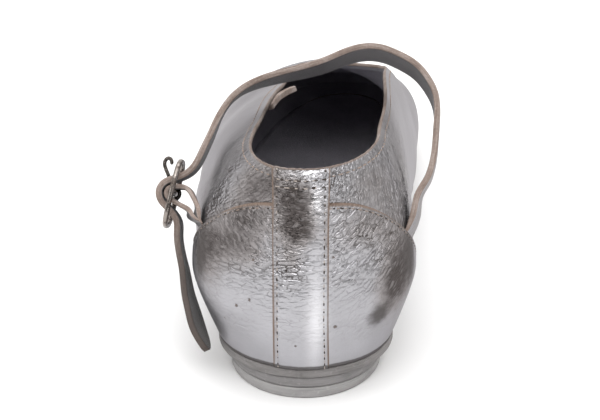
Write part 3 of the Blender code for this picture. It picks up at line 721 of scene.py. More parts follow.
class Finish:
    """A material, built from nodes by name."""

    def __init__(self, name):
        self.material = bpy.data.materials.new(name)
        self.material.use_nodes = True
        self.tree = self.material.node_tree
        self.shader = self.tree.nodes["Principled BSDF"]

    def node(self, kind, settings, sockets, output):
        """Adds a node with its settings, then the values or links of its sockets, and gives one output."""
        made = self.tree.nodes.new(kind)
        for key, value in settings.items():
            if key == "stops":
                ramp = made.color_ramp
                while len(ramp.elements) < len(value):
                    ramp.elements.new(0.5)
                for element, (position, colour) in zip(ramp.elements, value):
                    element.position = position
                    element.color = (*colour, 1)
            else:
                setattr(made, key, value)
        self.fill(made, sockets)
        return Socket(self, next(s for s in made.outputs if output in (s.identifier, s.name)))

    def fill(self, node, sockets):
        for key, value in sockets.items():
            socket = next((s for s in node.inputs if s.identifier == key), None) or node.inputs[key]
            if isinstance(value, Socket):
                self.tree.links.new(value.socket, socket)
            elif socket.type == "RGBA":
                socket.default_value = (*value, 1)
            else:
                socket.default_value = value

    def place(self):
        """Object coordinates, in metres."""
        return self.node("ShaderNodeTexCoord", {}, {}, "Object")

    def attribute(self, name, output="Fac"):
        return self.node("ShaderNodeAttribute", {"attribute_name": name}, {}, output)

    def stretch(self, vector, size, turn=0.0):
        """Turns the pattern, and makes one unit of it as long and as wide as the given size."""
        sockets = {"Vector": vector, "Scale": size, "Rotation": (0, 0, turn)}
        return self.node("ShaderNodeMapping", {"vector_type": "TEXTURE"}, sockets, "Vector")

    def warp(self, vector, scale, amount):
        """Shifts each place by up to the given amount, by half of it in the mean."""
        sockets = {"Vector": vector, "Scale": scale, "Detail": 2.0}
        colour = self.node("ShaderNodeTexNoise", {}, sockets, "Color")
        sockets = {"Vector": colour, "Vector_001": (amount,) * 3, "Vector_002": vector}
        return self.node("ShaderNodeVectorMath", {"operation": "MULTIPLY_ADD"}, sockets, "Vector")

    def noise(self, vector, scale, detail=3.0, rough=0.5, swirl=0.0):
        sockets = {"Vector": vector, "Scale": scale, "Detail": detail, "Roughness": rough,
                   "Distortion": swirl}
        return self.node("ShaderNodeTexNoise", {}, sockets, "Fac")

    def cells(self, vector, scale, feature):
        sockets = {"Vector": vector, "Scale": scale}
        return self.node("ShaderNodeTexVoronoi", {"feature": feature}, sockets, "Distance")

    def ramp(self, share, *stops):
        """Colours along a share, from stops of position and colour."""
        return self.node("ShaderNodeValToRGB", {"stops": stops}, {"Fac": share}, "Color")

    def step(self, value, start, end):
        """0 below start, 1 above end and a smooth change between; start may be the higher one."""
        sockets = {"Value": value, "From Min": start, "From Max": end}
        return self.node("ShaderNodeMapRange", {"interpolation_type": "SMOOTHSTEP"}, sockets, "Result")

    def mix(self, share, first, second):
        sockets = {"Factor_Float": share, "A_Color": first, "B_Color": second}
        return self.node("ShaderNodeMix", {"data_type": "RGBA"}, sockets, "Result_Color")

    def bump(self, height, distance, strength=1.0, normal=None):
        sockets = {"Height": height, "Distance": distance, "Strength": strength}
        if normal:
            sockets["Normal"] = normal
        return self.node("ShaderNodeBump", {}, sockets, "Normal")

    def finish(self, **sockets):
        self.fill(self.shader, {key.replace("_", " "): value for key, value in sockets.items()})
        return self.material

    def cover(self, share, layer):
        """Lays another surface over the finish where the share is high."""
        under = Socket(self, self.shader.outputs["BSDF"])
        sockets = {"Fac": share, "Shader": under, "Shader_001": layer}
        both = self.node("ShaderNodeMixShader", {}, sockets, "Shader")
        self.fill(self.tree.nodes["Material Output"], {"Surface": both})
        return self.material


def silver_leather():
    """Foil on leather: crepe that runs several ways, crack lines partly painted as crease shade, specks,
    tarnished and rubbed patches that also carry painted shade and a painted dark reflection, painted
    highlights, and edges worn bare.
    """
    f = Finish("silver_foil_leather")
    place = f.place()
    skin = f.attribute("skin", "Vector")
    crepe, tarnish, worn, bright, rubs = (f.attribute(name) for name in
                                          ("crepe", "tarnish", "worn", "bright", "rubs"))
    clouds = f.noise(place, 55, 4, 0.55)
    grain = f.cells(place, 1500, "SMOOTH_F1")
    pores = f.noise(place, 2600, 2, 0.6)
    bent = f.warp(skin, 0.30, 1.6)
    ragged = f.warp(skin, 1.3, SPECK_RAG)

    folds = 0.0
    for lie, degrees in FOLD_LIES:
        run = f.stretch(bent, (4.8, 1.4, 1), np.radians(degrees))
        folds = folds + f.cells(run, 1.0, "DISTANCE_TO_EDGE") * f.attribute(lie)
    dents = f.noise(f.stretch(bent, (6.5, 3.2, 1)), 1.0, 2, 0.5)
    rubbed = f.noise(f.stretch(skin, (3.2, 2.2, 1)), 1.0, 4, 0.65)
    # Crack lines along the crepe's valleys: cracked foil, with painted crease shade in their colour
    cracks_and_crease_shade = f.step(folds, 0.085, 0.0) * crepe * f.step(dents, 0.60, 0.42)
    small = f.noise(f.stretch(bent, (1.7, 0.6, 1)), 1.0, 2, 0.5)
    pillows = (f.step(folds, 0.0, 0.26) + small * 0.6) * crepe
    hairs = f.step(f.noise(f.stretch(skin, (18, 0.32, 1), 0.03), 1.0, 2, 0.5), 0.55, 0.72)
    specks = 0.0
    for around, height, radius in SPECKS:
        spot = tuple(value + SPECK_RAG / 2 for value in (around, height, 0))
        sockets = {"Vector": ragged, "Vector_001": spot}
        apart = f.node("ShaderNodeVectorMath", {"operation": "DISTANCE"}, sockets, "Value")
        specks = specks + f.step(apart, radius, 0.4 * radius)

    # Tarnish together with painted shade and the painted dark reflection on the strip, ragged by rubbing and
    # clouds
    stain_and_shade = tarnish + (rubbed - 0.5) * 0.5 * f.step(tarnish, 0.05, 0.4) + (clouds - 0.5) * 0.3
    brown = f.step(stain_and_shade, 0.05, 0.62)
    # Deepest part: the painted dark reflection and painted edge shade, left lighter on the crepe's raised
    # cells as painted glints
    dark = f.step(stain_and_shade, 0.45, 0.95) * (f.step(folds, 0.36, 0.16) * 0.5 + 0.5)
    bare = f.step(worn + clouds * 0.5, 0.75, 1.1)
    silver = f.ramp(clouds, (0.25, (0.36, 0.356, 0.375)), (0.7, (0.44, 0.436, 0.46)))
    # Painted shade: the crepe zone's colour is darkened for the dark room that its wrinkled foil reflects
    colour = f.mix(crepe * 0.3, silver, (0.25, 0.24, 0.24))
    # Painted highlights on the strip, and foil worn bright at the collar's top
    colour = f.mix(bright * 0.9, colour, (0.74, 0.735, 0.76))
    colour = f.mix(brown * 0.68, colour, (0.21, 0.187, 0.178))
    colour = f.mix(dark * 0.9, colour, (0.052, 0.044, 0.042))
    colour = f.mix(cracks_and_crease_shade * 0.92, colour, (0.05, 0.042, 0.038))
    colour = f.mix(hairs * 0.12, colour, (0.30, 0.285, 0.28))
    colour = f.mix(bare, colour, (0.19, 0.14, 0.112))
    colour = f.mix(specks * 0.85, colour, (0.10, 0.072, 0.056))
    metal = 0.97 - brown * 0.1 - bare * 0.8 - specks * 0.6 - cracks_and_crease_shade * 0.4
    rough = 0.37 - crepe * 0.14 - bright * 0.12 + clouds * 0.08 + bare * 0.3 + cracks_and_crease_shade * 0.15
    soft = f.bump(dents, 0.0012, crepe * 0.8 + 0.12)
    height = pillows + grain * 0.12 + pores * 0.06 + hairs * 0.04 - specks * 0.5
    f.finish(Base_Color=colour, Metallic=metal, Roughness=rough, Specular_Tint=(0.5, 0.48, 0.48),
             Normal=f.bump(height, 0.00028, 1.0, soft))
    # Matt dark cover: painted shade near the counters' outer edges and just above the sole, and a rub where
    # the foil is gone
    rub_and_shade_cover = f.step(rubs + (rubbed - 0.5) * 0.5 * f.step(rubs, 0.05, 0.4), 0.15, 0.85) * 0.85
    matt = f.node("ShaderNodeBsdfDiffuse", {}, {"Color": (0.075, 0.068, 0.066)}, "BSDF")
    return f.cover(rub_and_shade_cover, matt)


def raw_edge():
    """Cut edge of the leather: taupe fibres in pale and brown layers, soiled in places."""
    f = Finish("raw_leather_edge")
    place = f.place()
    fibres = f.noise(place, 1400, 3, 0.65)
    patches = f.noise(place, 160, 3, 0.5)
    layers = f.noise(f.stretch(f.attribute("skin", "Vector"), (9, 4, 0.55)), 1.0, 3, 0.6)
    tone = f.ramp(fibres * 0.25 + patches * 0.2 + layers * 0.55, (0.32, (0.105, 0.07, 0.055)),
                  (0.5, (0.235, 0.182, 0.156)), (0.68, (0.38, 0.335, 0.312)))
    tone = f.mix(f.attribute("soil") * (patches * 0.5 + 0.7), tone, (0.075, 0.06, 0.054))
    return f.finish(Base_Color=tone, Roughness=0.78 + patches * 0.12, Normal=f.bump(fibres, 0.0003, 0.9))


def suede(name, dark, light, soil=0.0):
    """Flesh side of the leather, dyed slate: a short soft nap, rubbed paler in places, soiled in others."""
    f = Finish(name)
    place = f.place()
    nap = f.noise(place, 1900, 3, 0.7)
    rubbed = f.noise(place, 90, 4, 0.55)
    tone = f.ramp(nap * 0.4 + rubbed * 0.6, (0.3, dark), (0.7, light))
    if soil:
        tone = f.mix(f.attribute("soil") * soil, tone, (0.045, 0.037, 0.033))
    return f.finish(Base_Color=tone, Roughness=0.86 + nap * 0.1, Sheen_Weight=0.2, Sheen_Roughness=0.5,
                    Normal=f.bump(nap, 0.0003, 0.6))


def sole_edge(name, dark, light):
    """Sole and heel leather: matt grey-brown with fine level lines, scuffs and dusty flecks."""
    f = Finish(name)
    place = f.place()
    lines = f.noise(f.stretch(place, (0.025, 0.025, 0.0004)), 1.0, 3, 0.6)
    scuffs = f.noise(f.stretch(place, (1, 1, 0.33)), 120, 4, 0.6, 0.8)
    dust = f.step(f.noise(place, 700, 3, 0.6), 0.60, 0.72)
    tone = f.ramp(lines * 0.45 + scuffs * 0.55, (0.3, dark), (0.72, light))
    tone = f.mix(dust * 0.25, tone, tuple(min(1.0, 1.5 * c) for c in light))
    return f.finish(Base_Color=tone, Roughness=0.62 + scuffs * 0.25,
                    Normal=f.bump(lines * 0.6 + scuffs * 0.7 + dust * 0.2, 0.0003, 0.7))


def aged_steel(name, clean, stained):
    """Dull steel with stains of rust, wiped bright in places."""
    f = Finish(name)
    place = f.place()
    rust = f.step(f.noise(place, 380, 4, 0.6), 0.48, 0.66)
    wipe = f.noise(place, 1200, 2, 0.5)
    colour = f.mix(rust, clean, stained)
    rough = 0.16 + rust * 0.24 + wipe * 0.08
    return f.finish(Base_Color=colour, Metallic=0.97 - rust * 0.3, Roughness=rough,
                    Normal=f.bump(wipe * 0.4 + rust * 0.6, 0.0002, 0.6))


def waxed_thread(name, colour):
    f = Finish(name)
    place = f.place()
    twist = f.noise(place, 2400, 2, 0.6)
    tone = f.mix(twist, tuple(0.55 * c for c in colour), colour)
    return f.finish(Base_Color=tone, Roughness=0.7 + twist * 0.15, Normal=f.bump(twist, 0.0002, 0.5))


def pale_floor():
    f = Finish("pale_floor")
    place = f.place()
    tone = f.mix(f.noise(place, 6, 2, 0.5), (0.86, 0.86, 0.86), (0.89, 0.89, 0.89))
    return f.finish(Base_Color=tone, Roughness=0.7)


FOIL = silver_leather()
RAW = raw_edge()
SUEDE = suede("slate_suede_lining", (0.21, 0.202, 0.23), (0.33, 0.318, 0.357))
# Painted light: the sock is a lighter copy of the lining's slate suede, making up for light that hardly
# reaches it inside the shoe
SOCK_PAINTED_LIGHTER = suede("slate_suede_sock_painted_lighter", (0.30, 0.288, 0.325), (0.46, 0.442, 0.492))
STRAP_FLESH = suede("strap_flesh_side", (0.09, 0.084, 0.088), (0.15, 0.14, 0.145), 0.8)
SOLE = sole_edge("sole_leather", (0.13, 0.122, 0.120), (0.28, 0.266, 0.262))
STACK = sole_edge("heel_stack", (0.15, 0.143, 0.143), (0.30, 0.288, 0.288))
TOP_PIECE = sole_edge("heel_top_piece", (0.25, 0.243, 0.242), (0.42, 0.408, 0.406))
STEEL = aged_steel("aged_steel", (0.27, 0.24, 0.22), (0.085, 0.066, 0.055))
# Painted shade: the prong gets a darker copy of the frame's aged steel for the shadow its coil lies in
# inside the fold, over its own aged colour
PRONG_STEEL_SHADED = aged_steel("prong_steel_painted_shade", (0.11, 0.098, 0.09), (0.045, 0.036, 0.031))
PALE_THREAD = waxed_thread("pale_thread", (0.46, 0.40, 0.36))
TAN_THREAD = waxed_thread("tan_thread", (0.34, 0.265, 0.22))
# Painted shade: dark beads in the needle holes stand for the shade inside them
NEEDLE_HOLE_SHADE = waxed_thread("needle_hole_painted_shade", (0.05, 0.036, 0.029))


def leather_attributes(around, height, level, worn, quarter=False):
    """Values over a leather piece that its finish reads; the foil is painted dark just above the sole, as
    painted shade where the upper meets the sole.
    """
    sole_line_shade = smooth_step((SOLE_SHADE_FROM - level) / SOLE_SHADE_OVER)
    soil = UPPER_SOIL if quarter else OVERLAY_SOIL
    return {"skin": np.stack([around, height, np.zeros_like(around)], -1), "worn": worn,
            "rubs": np.maximum(dabs(RUBS_AND_SHADE, around, height), sole_line_shade), "soil": np.full_like(around, soil),
            "crepe": crepe_amount(around, height), "bright": dabs(BRIGHT_AND_HIGHLIGHTS, around, height),
            "tarnish": dabs(TARNISH_AND_SHADE, around, height), **fold_lies(around, height, quarter)}


def make_upper():
    """Vamp and quarters: one wall of leather, foil outside and suede inside, its collar edge cut raw."""
    ways, lengths = ROUND[-1]
    fine, coarse, fine_to = 0.75, 1.7, 140.0
    stops = np.concatenate([np.arange(0, fine_to, fine), np.arange(fine_to, lengths[-1], coarse),
                            lengths[-1:]])
    own = np.unique(np.append(np.interp(stops, lengths, ways), [AT_BALL, AT_POLE]))
    levels = np.concatenate([np.linspace(-1, 0, 30)[:-1], np.linspace(0, 1, 62)])
    outer, inner, around = [], [], []
    for side, along in ((-1, own[::-1]), (1, own[1:])):
        way, level = np.meshgrid(along, levels)
        spot, normal, length, height = leather_at(side, way, level)
        edge = smooth_step((level - 0.93) / 0.07)[..., None]
        outer.append(spot + normal * (height * (1 - 0.5 * edge[..., 0]))[..., None])
        inner.append(spot - normal * (UPPER_WALL - 0.5 * height)[..., None] * (1 - 0.35 * edge))
        around.append(length)
    outer, inner, around = np.hstack(outer), np.hstack(inner), np.hstack(around)
    count = len(own)
    whole = np.concatenate([own[::-1], own[1:]])
    mirror = 2 * count - 2 - np.arange(2 * count - 1)
    on_collar = whole <= AT_BALL
    on_crest = np.flatnonzero(whole >= AT_BALL)
    on_pole = np.flatnonzero(whole >= AT_POLE)
    for sheet in (outer, inner):
        sheet[-1, on_crest] = (sheet[-1, on_crest] + sheet[-1, mirror[on_crest]]) / 2
        sheet[:, [0, -1]] = (sheet[:, [0]] + sheet[:, [-1]]) / 2
        sheet[-1, on_pole] = sheet[-1, on_pole].mean(axis=0)
    rows, columns = outer.shape[:2]
    size = rows * columns
    index = np.arange(size).reshape(rows, columns)
    collar = index[-1, on_collar]
    flat_outer, flat_inner = outer.reshape(-1, 3), inner.reshape(-1, 3)
    edge_outer, edge_inner = flat_outer[collar], flat_inner[collar]
    fray = 0.14 * lump(around[-1, on_collar] / 1.3, np.zeros(len(collar)), 21)
    lift = np.outer(0.3 + fray, (0, 0, 1))
    rim = [edge_outer + (edge_inner - edge_outer) * share + lift for share in (0.2, 0.8)]
    points = np.vstack([flat_outer, flat_inner, *rim])
    rim_index = 2 * size + np.arange(len(collar))
    bands = np.stack([collar, rim_index, rim_index + len(collar), size + collar])
    foot = np.stack([index[0], size + index[0]])
    groups = [quads(index), np.vstack([quads(bands, True), quads(foot)]), quads(size + index, True)]
    near_edge = on_collar * smooth_step((levels[:, None] - 0.955) / 0.05)
    level = np.broadcast_to(levels[:, None], around.shape)
    values = leather_attributes(around, outer[..., 2], level, 0.8 * near_edge, True)
    order = np.concatenate([index.ravel(), index.ravel(), collar, collar])
    piece = add_mesh("upper_leather", points, groups, [FOIL, RAW, SUEDE], spread(values, order))
    return settle(piece, "silver_leather", "upper")


def edge_distance(sheet):
    """Distance of each point of a grid from its left, right and top borders, along the grid."""
    step_across = np.linalg.norm(np.diff(sheet, axis=1), axis=2)
    step_up = np.linalg.norm(np.diff(sheet, axis=0), axis=2)
    left = np.hstack([np.zeros((len(sheet), 1)), np.cumsum(step_across, axis=1)])
    below = np.vstack([np.zeros((1, sheet.shape[1])), np.cumsum(step_up, axis=0)])
    return left, left[:, -1:] - left, below[-1] - below


def sewn_edge(distance):
    """Thickness of an overlay near a sewn raw edge: rounded at the edge, pulled down along the stitches."""
    rounding = np.sqrt(np.clip(distance / 0.35, 0.05, 1))
    return rounding * (1 - 0.16 * np.exp(-((distance - SEAM_IN) / 0.6) ** 2))


def panel_grid(side, columns, rows):
    """Shares of the way and levels over one heel panel, from the strip outward and up to its raw edge."""
    edge = cubic(PANEL_EDGE, 1, 0)
    last_way = AT_HEEL + (AT_BALL - AT_HEEL) * (PANEL_EDGE[-1, 0] - HEEL_CENTRE) / (BALL[-1] - HEEL_CENTRE)
    across, up = np.meshgrid(np.linspace(0, 1, columns), np.linspace(0, 1, rows))
    way = last_way * across
    for _ in range(4):
        top = level_at(side, way, edge(outline(side, way, 2, LENGTH, 0.0)[1]))
        level = OVERLAY_LEVEL + (top - OVERLAY_LEVEL) * up
        first = way_at_half_width(side, level, PANEL_HALF)
        way = first + (last_way - first) * across
    return way, level


def make_counter(side, node):
    """Heel panel over one quarter, its top edge cut raw and sewn down."""
    way, level = panel_grid(side, 130, 100)
    spot, normal, around, off = leather_at(side, way, level)
    top = edge_distance(spot)[2]
    outer = spot + normal * (off + PANEL_OUT * sewn_edge(top))[..., None]
    inner = spot + normal * (off - OVERLAY_SINK)[..., None]
    worn = 1.1 * np.exp(-(top / 0.9) ** 2) + 0.35 * np.exp(-((top - SEAM_IN) / 0.8) ** 2)
    values = leather_attributes(around, spot[..., 2], level, worn)
    piece = slab(node + "_leather", outer, inner, [FOIL, RAW, RAW], values)
    return settle(piece, "silver_leather", node)


def make_back_strip():
    """Strip up the back of the heel, over the inner edges of the heel panels."""
    turn, level = np.meshgrid(np.linspace(-1, 1, 48), np.linspace(OVERLAY_LEVEL, 1, 150))
    halves = [leather_at(side, way_at_half_width(side, level, STRIP_HALF) * np.abs(turn), level)
              for side in (-1, 1)]
    lateral = turn < 0
    spot, normal, around, off = (np.where(lateral if one.ndim == 2 else lateral[..., None], one, other)
                                 for one, other in zip(*halves))
    left, right, top = edge_distance(spot)
    nearest = np.minimum(left, right)
    thick = STRIP_OUT * sewn_edge(nearest) * np.sqrt(np.clip(top / 0.6, 0.2, 1))
    outer = spot + normal * (off + thick)[..., None]
    inner = spot + normal * (off - OVERLAY_SINK)[..., None]
    worn = 1.1 * np.exp(-(nearest / 0.95) ** 2) + 0.45 * np.exp(-((nearest - SEAM_IN) / 0.6) ** 2)
    values = leather_attributes(around, spot[..., 2], level, worn)
    piece = slab("back_strip_leather", outer, inner, [FOIL, RAW, RAW], values)
    return settle(piece, "silver_leather", "back_strip")


def make_outsole():
    """Thin sole with a grooved rim, its arch and toe spring, closed at heel and toe."""
    profile = [(-0.9, 0.0), (-0.35, -0.06), (-0.05, -0.3), (0.0, -0.62), (-0.16, -0.86), (-0.16, -1.06),
               (0.0, -1.3), (0.0, -2.3), (-0.12, -2.72), (-0.5, -SOLE_THICK)]
    ways = way_stops(50, 90, 70)
    across = np.linspace(0, 1, 9)[1:-1]

    def rim(side, grow, drop):
        x, y = outline(side, ways, 1, SOLE_TIP, SOLE_BACK, SOLE_RIM + grow)
        return np.stack([x, y, sole_height(y) + drop], -1)
    right = [rim(1, *row) for row in profile]
    left = [rim(-1, *row) for row in profile]

    def between(first, last, drop):
        lines = []
        for share in across:
            flat = first + (last - first) * share
            flat[:, 2] = sole_height(flat[:, 1]) + drop
            lines.append(flat)
        return lines
    under, over = between(right[-1], left[-1], -SOLE_THICK), between(left[0], right[0], 0.0)
    rings = np.stack(right + under + left[::-1] + over, 1)
    return settle(tube("outsole_leather", rings, [SOLE]), "sole_leather", "outsole")


def heel_plan(half, back, inset):
    """Plan of a heel lift: round back, straight sides and a hollowed breast."""
    turns = np.radians(np.linspace(-90, 90, 97))
    half, depth = half - inset, HEEL_DEPTH - inset
    round_back = np.stack([half * np.sin(turns), back + HEEL_DEPTH - depth * np.cos(turns)], -1)
    sides = np.linspace(0, 1, 14)[1:]
    front = HEEL_BREAST - inset
    right = np.stack([np.full(13, half), round_back[-1, 1] + (front - round_back[-1, 1]) * sides], -1)
    across = np.linspace(1, -1, 33)[1:-1]
    breast = np.stack([half * across, front - HEEL_HOLLOW * (1 - across ** 2)], -1)
    left = right[::-1] * (-1, 1)
    return np.vstack([round_back, right, breast, left])


def make_heel_layer(name, node, finish, low, high, bottom, top):
    """One lift of the heel, its edges eased and its side a little hollowed by wear."""
    rings = []
    for share, inset in ((0, 0.5), (0.06, 0.12), (0.2, 0), (0.5, 0.1), (0.8, 0), (0.94, 0.12), (1, 0.5)):
        half = HEEL_HALF[low] + (HEEL_HALF[high] - HEEL_HALF[low]) * share
        back = HEEL_BACK[low] + (HEEL_BACK[high] - HEEL_BACK[low]) * share
        plan = heel_plan(half, back, inset)
        rings.append(np.column_stack([plan, np.full(len(plan), bottom + (top - bottom) * share)]))
    return settle(tube(name, np.stack(rings), [finish]), "heel_stack", node)


def make_insole():
    """Sock over the sole, a little dished by the foot."""
    ways = way_stops(30, 60, 40)
    grow = SOCK_UNDER - UPPER_WALL
    across = np.linspace(0, 1, 25)
    ends = [np.stack(outline(side, ways, 1, SOLE_TIP, SOLE_BACK, grow), -1) for side in (-1, 1)]
    plan = ends[0][:, None] + (ends[1] - ends[0])[:, None] * across[None, :, None]
    dish = 4 * across * (1 - across)
    y = plan[..., 1]
    prints = sum(depth * np.exp(-((y - centre) / reach) ** 2) for centre, reach, depth in SOCK_PRINTS)
    base = sole_height(y) + GAP
    top = base + INSOLE_THICK - dish * prints
    rings = np.concatenate([np.dstack([plan, top]), np.dstack([plan, base])[:, ::-1]], axis=1)
    return settle(tube("insole_sock", rings, [SOCK_PAINTED_LIGHTER]), "sock_lining", "insole")


# Straps and buckle
def run_along(points):
    """Distance of each point of a line from its start."""
    return np.concatenate([[0], np.cumsum(np.linalg.norm(np.diff(points, axis=0), axis=1))])


def through(points, count):
    """Evenly spaced points on the smooth curve through the given ones."""
    points = np.asarray(points, float)
    run = run_along(points[:, :3])
    table = np.column_stack([run, points])
    where = np.linspace(0, run[-1], count)
    return np.column_stack([cubic(table, column)(where) for column in range(1, table.shape[1])])


def buckle_axes():
    """Directions of the buckle: down along its strap, out from the foot, and up across its width."""
    lean, turn = np.radians(STRAP_LEAN), np.radians(BUCKLE_TURN)
    across = np.array([0, -np.sin(lean), np.cos(lean)])
    down = np.array([0, -np.cos(lean), -np.sin(lean)])
    out = np.array([-1.0, 0, 0])
    along = down * np.cos(turn) - out * np.sin(turn)
    return along, np.cross(along, across), across


def buckle_point(along, off, across=0.0):
    axes = buckle_axes()
    return np.array(BUCKLE_CENTRE) + along * axes[0] + off * axes[1] + across * axes[2]


def edge_rows(rows):
    """Rear and front edge of the strap, side by side, from rows of position, lean and flare."""
    result = []
    for x, y, z, lean, flare in rows:
        lean = np.radians(lean)
        width = np.array([0, np.sin(lean), -np.cos(lean)]) * STRAP_WIDE
        rear = np.array([x, y, z])
        result.append(np.concatenate([rear, rear + width + (flare, 0, 0)]))
    return result


def band(name, edges, thickness, centre_share, materials, tip=0.0, skive=(0.0, 0.0), soiled=0.0):
    """A leather band along two edges, with rounded raw edges: its outer face, edge, inner face, edge.

    Its last end may be drawn to a blunt point over a tip and soiled over a length, and each end may be
    skived thin from its foil.
    """
    rear, front = edges[:, :3], edges[:, 3:]
    centre = (rear + front) / 2
    along = np.gradient(centre, axis=0)
    normal = unit(np.cross(front - rear, along))
    inside = np.array([0, HEEL_CENTRE, 30])
    normal = normal * np.sign(normal[0] @ (centre[0] - inside))
    run = run_along(centre)
    wide = np.linalg.norm(front - rear, axis=1)
    round_off, face_points = 0.16, 11
    shares = np.linspace(0, 1, face_points)
    edge_depths = np.array([0.1, 0.5, 0.9])
    rings, around = [], []
    for i in range(len(edges)):
        left = run[-1] - run[i]
        pinch = 1.0
        if tip:
            pinch = np.clip(1 - (1 - np.clip(left / tip, 0, 1)) ** 2, 0.001, 1) ** 0.6
        margin = round_off / wide[i]
        span = 0.5 + (margin + (1 - 2 * margin) * shares - 0.5) * pinch
        ends = 0.5 + np.array([-0.5, 0.5]) * pinch
        crown = -0.08 * (2 * shares - 1) ** 4
        thin = 1.0
        for length, off_end in zip(skive, (run[i], left)):
            if length:
                thin = min(thin, 0.25 + 0.75 * smooth_step(off_end / length))
        inner, outer = (centre_share - 1) * thickness, centre_share * thickness
        if materials[0] is FOIL:
            outer = inner + thickness * thin
        else:
            inner = outer - thickness * thin
        depths = outer - thickness * thin * edge_depths
        profile = [(s, outer + c) for s, c in zip(span, crown)]
        profile += [(ends[1], depth) for depth in depths]
        profile += [(s, inner - 0.3 * c) for s, c in zip(span[::-1], crown[::-1])]
        profile += [(ends[0], depth) for depth in depths[::-1]]
        wave = 0.12 * lump(np.array([run[i] / 6.0]), np.array([4.0]), 31)[0]
        rings.append([rear[i] + (front[i] - rear[i]) * s + normal[i] * (n + wave) for s, n in profile])
        around.append([(run[i], s * wide[i], n) for s, n in profile])
    rings, around = np.array(rings), np.array(around)
    finish = [0] * (face_points - 1) + [1] * 4 + [2] * (face_points - 1) + [1] * 4
    from_edge = np.minimum(around[..., 1], wide[:, None] - around[..., 1])
    soft = 0.45 + 0.35 * lump(around[..., 0] / 7, around[..., 1] / 5, 33)
    dull = 0.25 + 0.3 * lump(around[..., 0] / 14, around[..., 1] / 9, 35)
    attributes = {"skin": around, "crepe": soft, "tarnish": dull, "level": np.ones_like(soft),
                  "worn": 0.8 * np.exp(-(from_edge / 0.8) ** 2), "soil": np.zeros_like(soft)}
    if soiled:
        attributes["soil"] = smooth_step((around[..., 0] - run[-1] + soiled) / (soiled / 2))
    return tube(name, rings, materials, finish, attributes)


def make_ankle_strap():
    """Strap from the medial heel panel over the ankle, through the buckle and down to its free tail."""
    half = STRAP_WIDE / 2
    passing = [np.concatenate([buckle_point(a, n, half), buckle_point(a, n, -half)]) for a, n in STRAP_PASS]
    edges = through(edge_rows(STRAP_RISE) + passing + edge_rows(STRAP_TAIL), 340)
    piece = band("ankle_strap_leather", edges, STRAP_THICK, 0.0, [FOIL, RAW, STRAP_FLESH],
                 TAIL_TIP, STRAP_SKIVE, TAIL_SOILED)
    return settle(piece, "silver_leather", "ankle_strap")


def make_buckle_strap():
    """Short strap folded round the buckle's bar, its foil outside."""
    half = STRAP_WIDE / 2
    bend = WIRE_RADIUS + GAP + FOLD_THICK / 2
    arc = [(bend * np.cos(a), bend * np.sin(a), 0, 0) for a in np.radians(np.linspace(*FOLD_TURN, 7))]
    rows = []
    for along, off, slide, flare in FOLD_INNER + arc + FOLD_OUTER[::-1]:
        rear, front = buckle_point(along, off, slide + half), buckle_point(along, off, slide - half)
        rows.append(np.concatenate([rear, front + (flare, 0, 0)]))
    finishes = [STRAP_FLESH, RAW, FOIL]
    piece = band("buckle_strap_leather", through(rows, 90), FOLD_THICK, 0.5, finishes, skive=FOLD_SKIVE)
    return settle(piece, "silver_leather", "buckle_strap")


def make_collar_tab():
    """Short tab with a raw edge that curls in from the lateral collar."""
    hang = np.array(TAB_HANG)
    rows = [np.concatenate([np.array(top), np.array(top) + hang]) for top in TAB_TOP]
    return settle(band("collar_tab", through(rows, 30), TAB_THICK, 0.5, [RAW, RAW, RAW]), "silver_leather")


def wire(points, radius, closed=False):
    """Rings of a round wire along points; its ends are rounded off."""
    points = np.asarray(points, float)
    if closed:
        along = np.roll(points, -1, axis=0) - np.roll(points, 1, axis=0)
    else:
        along = np.gradient(points, axis=0)
    along = unit(along)
    across = buckle_axes()[1 if closed else 2]
    first = unit(across - along * (along @ across)[:, None])
    second = np.cross(along, first)
    girth = np.full(len(points), radius)
    if not closed:
        girth[[0, -1]] *= 0.45
        girth[[1, -2]] *= 0.85
    cos, sin = np.cos(WIRE_TURNS)[:, None], np.sin(WIRE_TURNS)[:, None]
    spokes = first[:, None] * cos + second[:, None] * sin
    return points[:, None] + spokes * girth[:, None, None]


def make_buckle():
    """Oval wire frame with its centre bar, and the prong that turns on the bar."""
    shares = np.linspace(0, 1, 28, endpoint=False)
    half_ring = [oval(share, RING_ACROSS, RING_ALONG, RING_ROUND) for share in shares]
    for share in shares:
        across, along = oval(1 - share, RING_ACROSS, RING_ALONG, RING_ROUND)
        half_ring.append((across, -along))
    loop = half_ring + [(-across, -along) for across, along in half_ring]
    ring = wire([buckle_point(along, 0, across) for across, along in loop], WIRE_RADIUS, True)
    bar_line = [buckle_point(0, 0, across) for across in np.linspace(-RING_ACROSS, RING_ACROSS, 24)]
    axes = buckle_axes()
    spokes = np.outer(np.cos(WIRE_TURNS), axes[0]) + np.outer(np.sin(WIRE_TURNS), axes[1])
    bar = np.array(bar_line)[:, None] + BAR_RADIUS * spokes
    index = np.arange((len(ring) + len(bar)) * WIRE_SIDES).reshape(-1, WIRE_SIDES)
    index, bar_index = index[:len(ring)], index[len(ring):]
    index = wrap(np.vstack([index, index[:1]]))
    ends = [bar_index[0][::-1].tolist(), bar_index[-1].tolist()]
    points = np.vstack([ring.reshape(-1, 3), bar.reshape(-1, 3)])
    faces = quads(index).tolist() + quads(wrap(bar_index)).tolist() + ends
    settle(add_mesh("buckle_wire", points, [faces], [STEEL]), "aged_steel", "buckle_frame")

    eye = WIRE_RADIUS + GAP + PRONG_RADIUS
    hook = [(eye * np.cos(a), eye * np.sin(a)) for a in np.radians(np.linspace(*PRONG_TURN, 40))]
    shank = through([hook[-1]] + PRONG_ROUTE, 44)
    route = [buckle_point(*point) for point in hook + [tuple(point) for point in shank[1:]]]
    rings = wire(route, PRONG_RADIUS)
    settle(tube("buckle_tongue", rings, [PRONG_STEEL_SHADED]), "aged_steel", "buckle_prong")


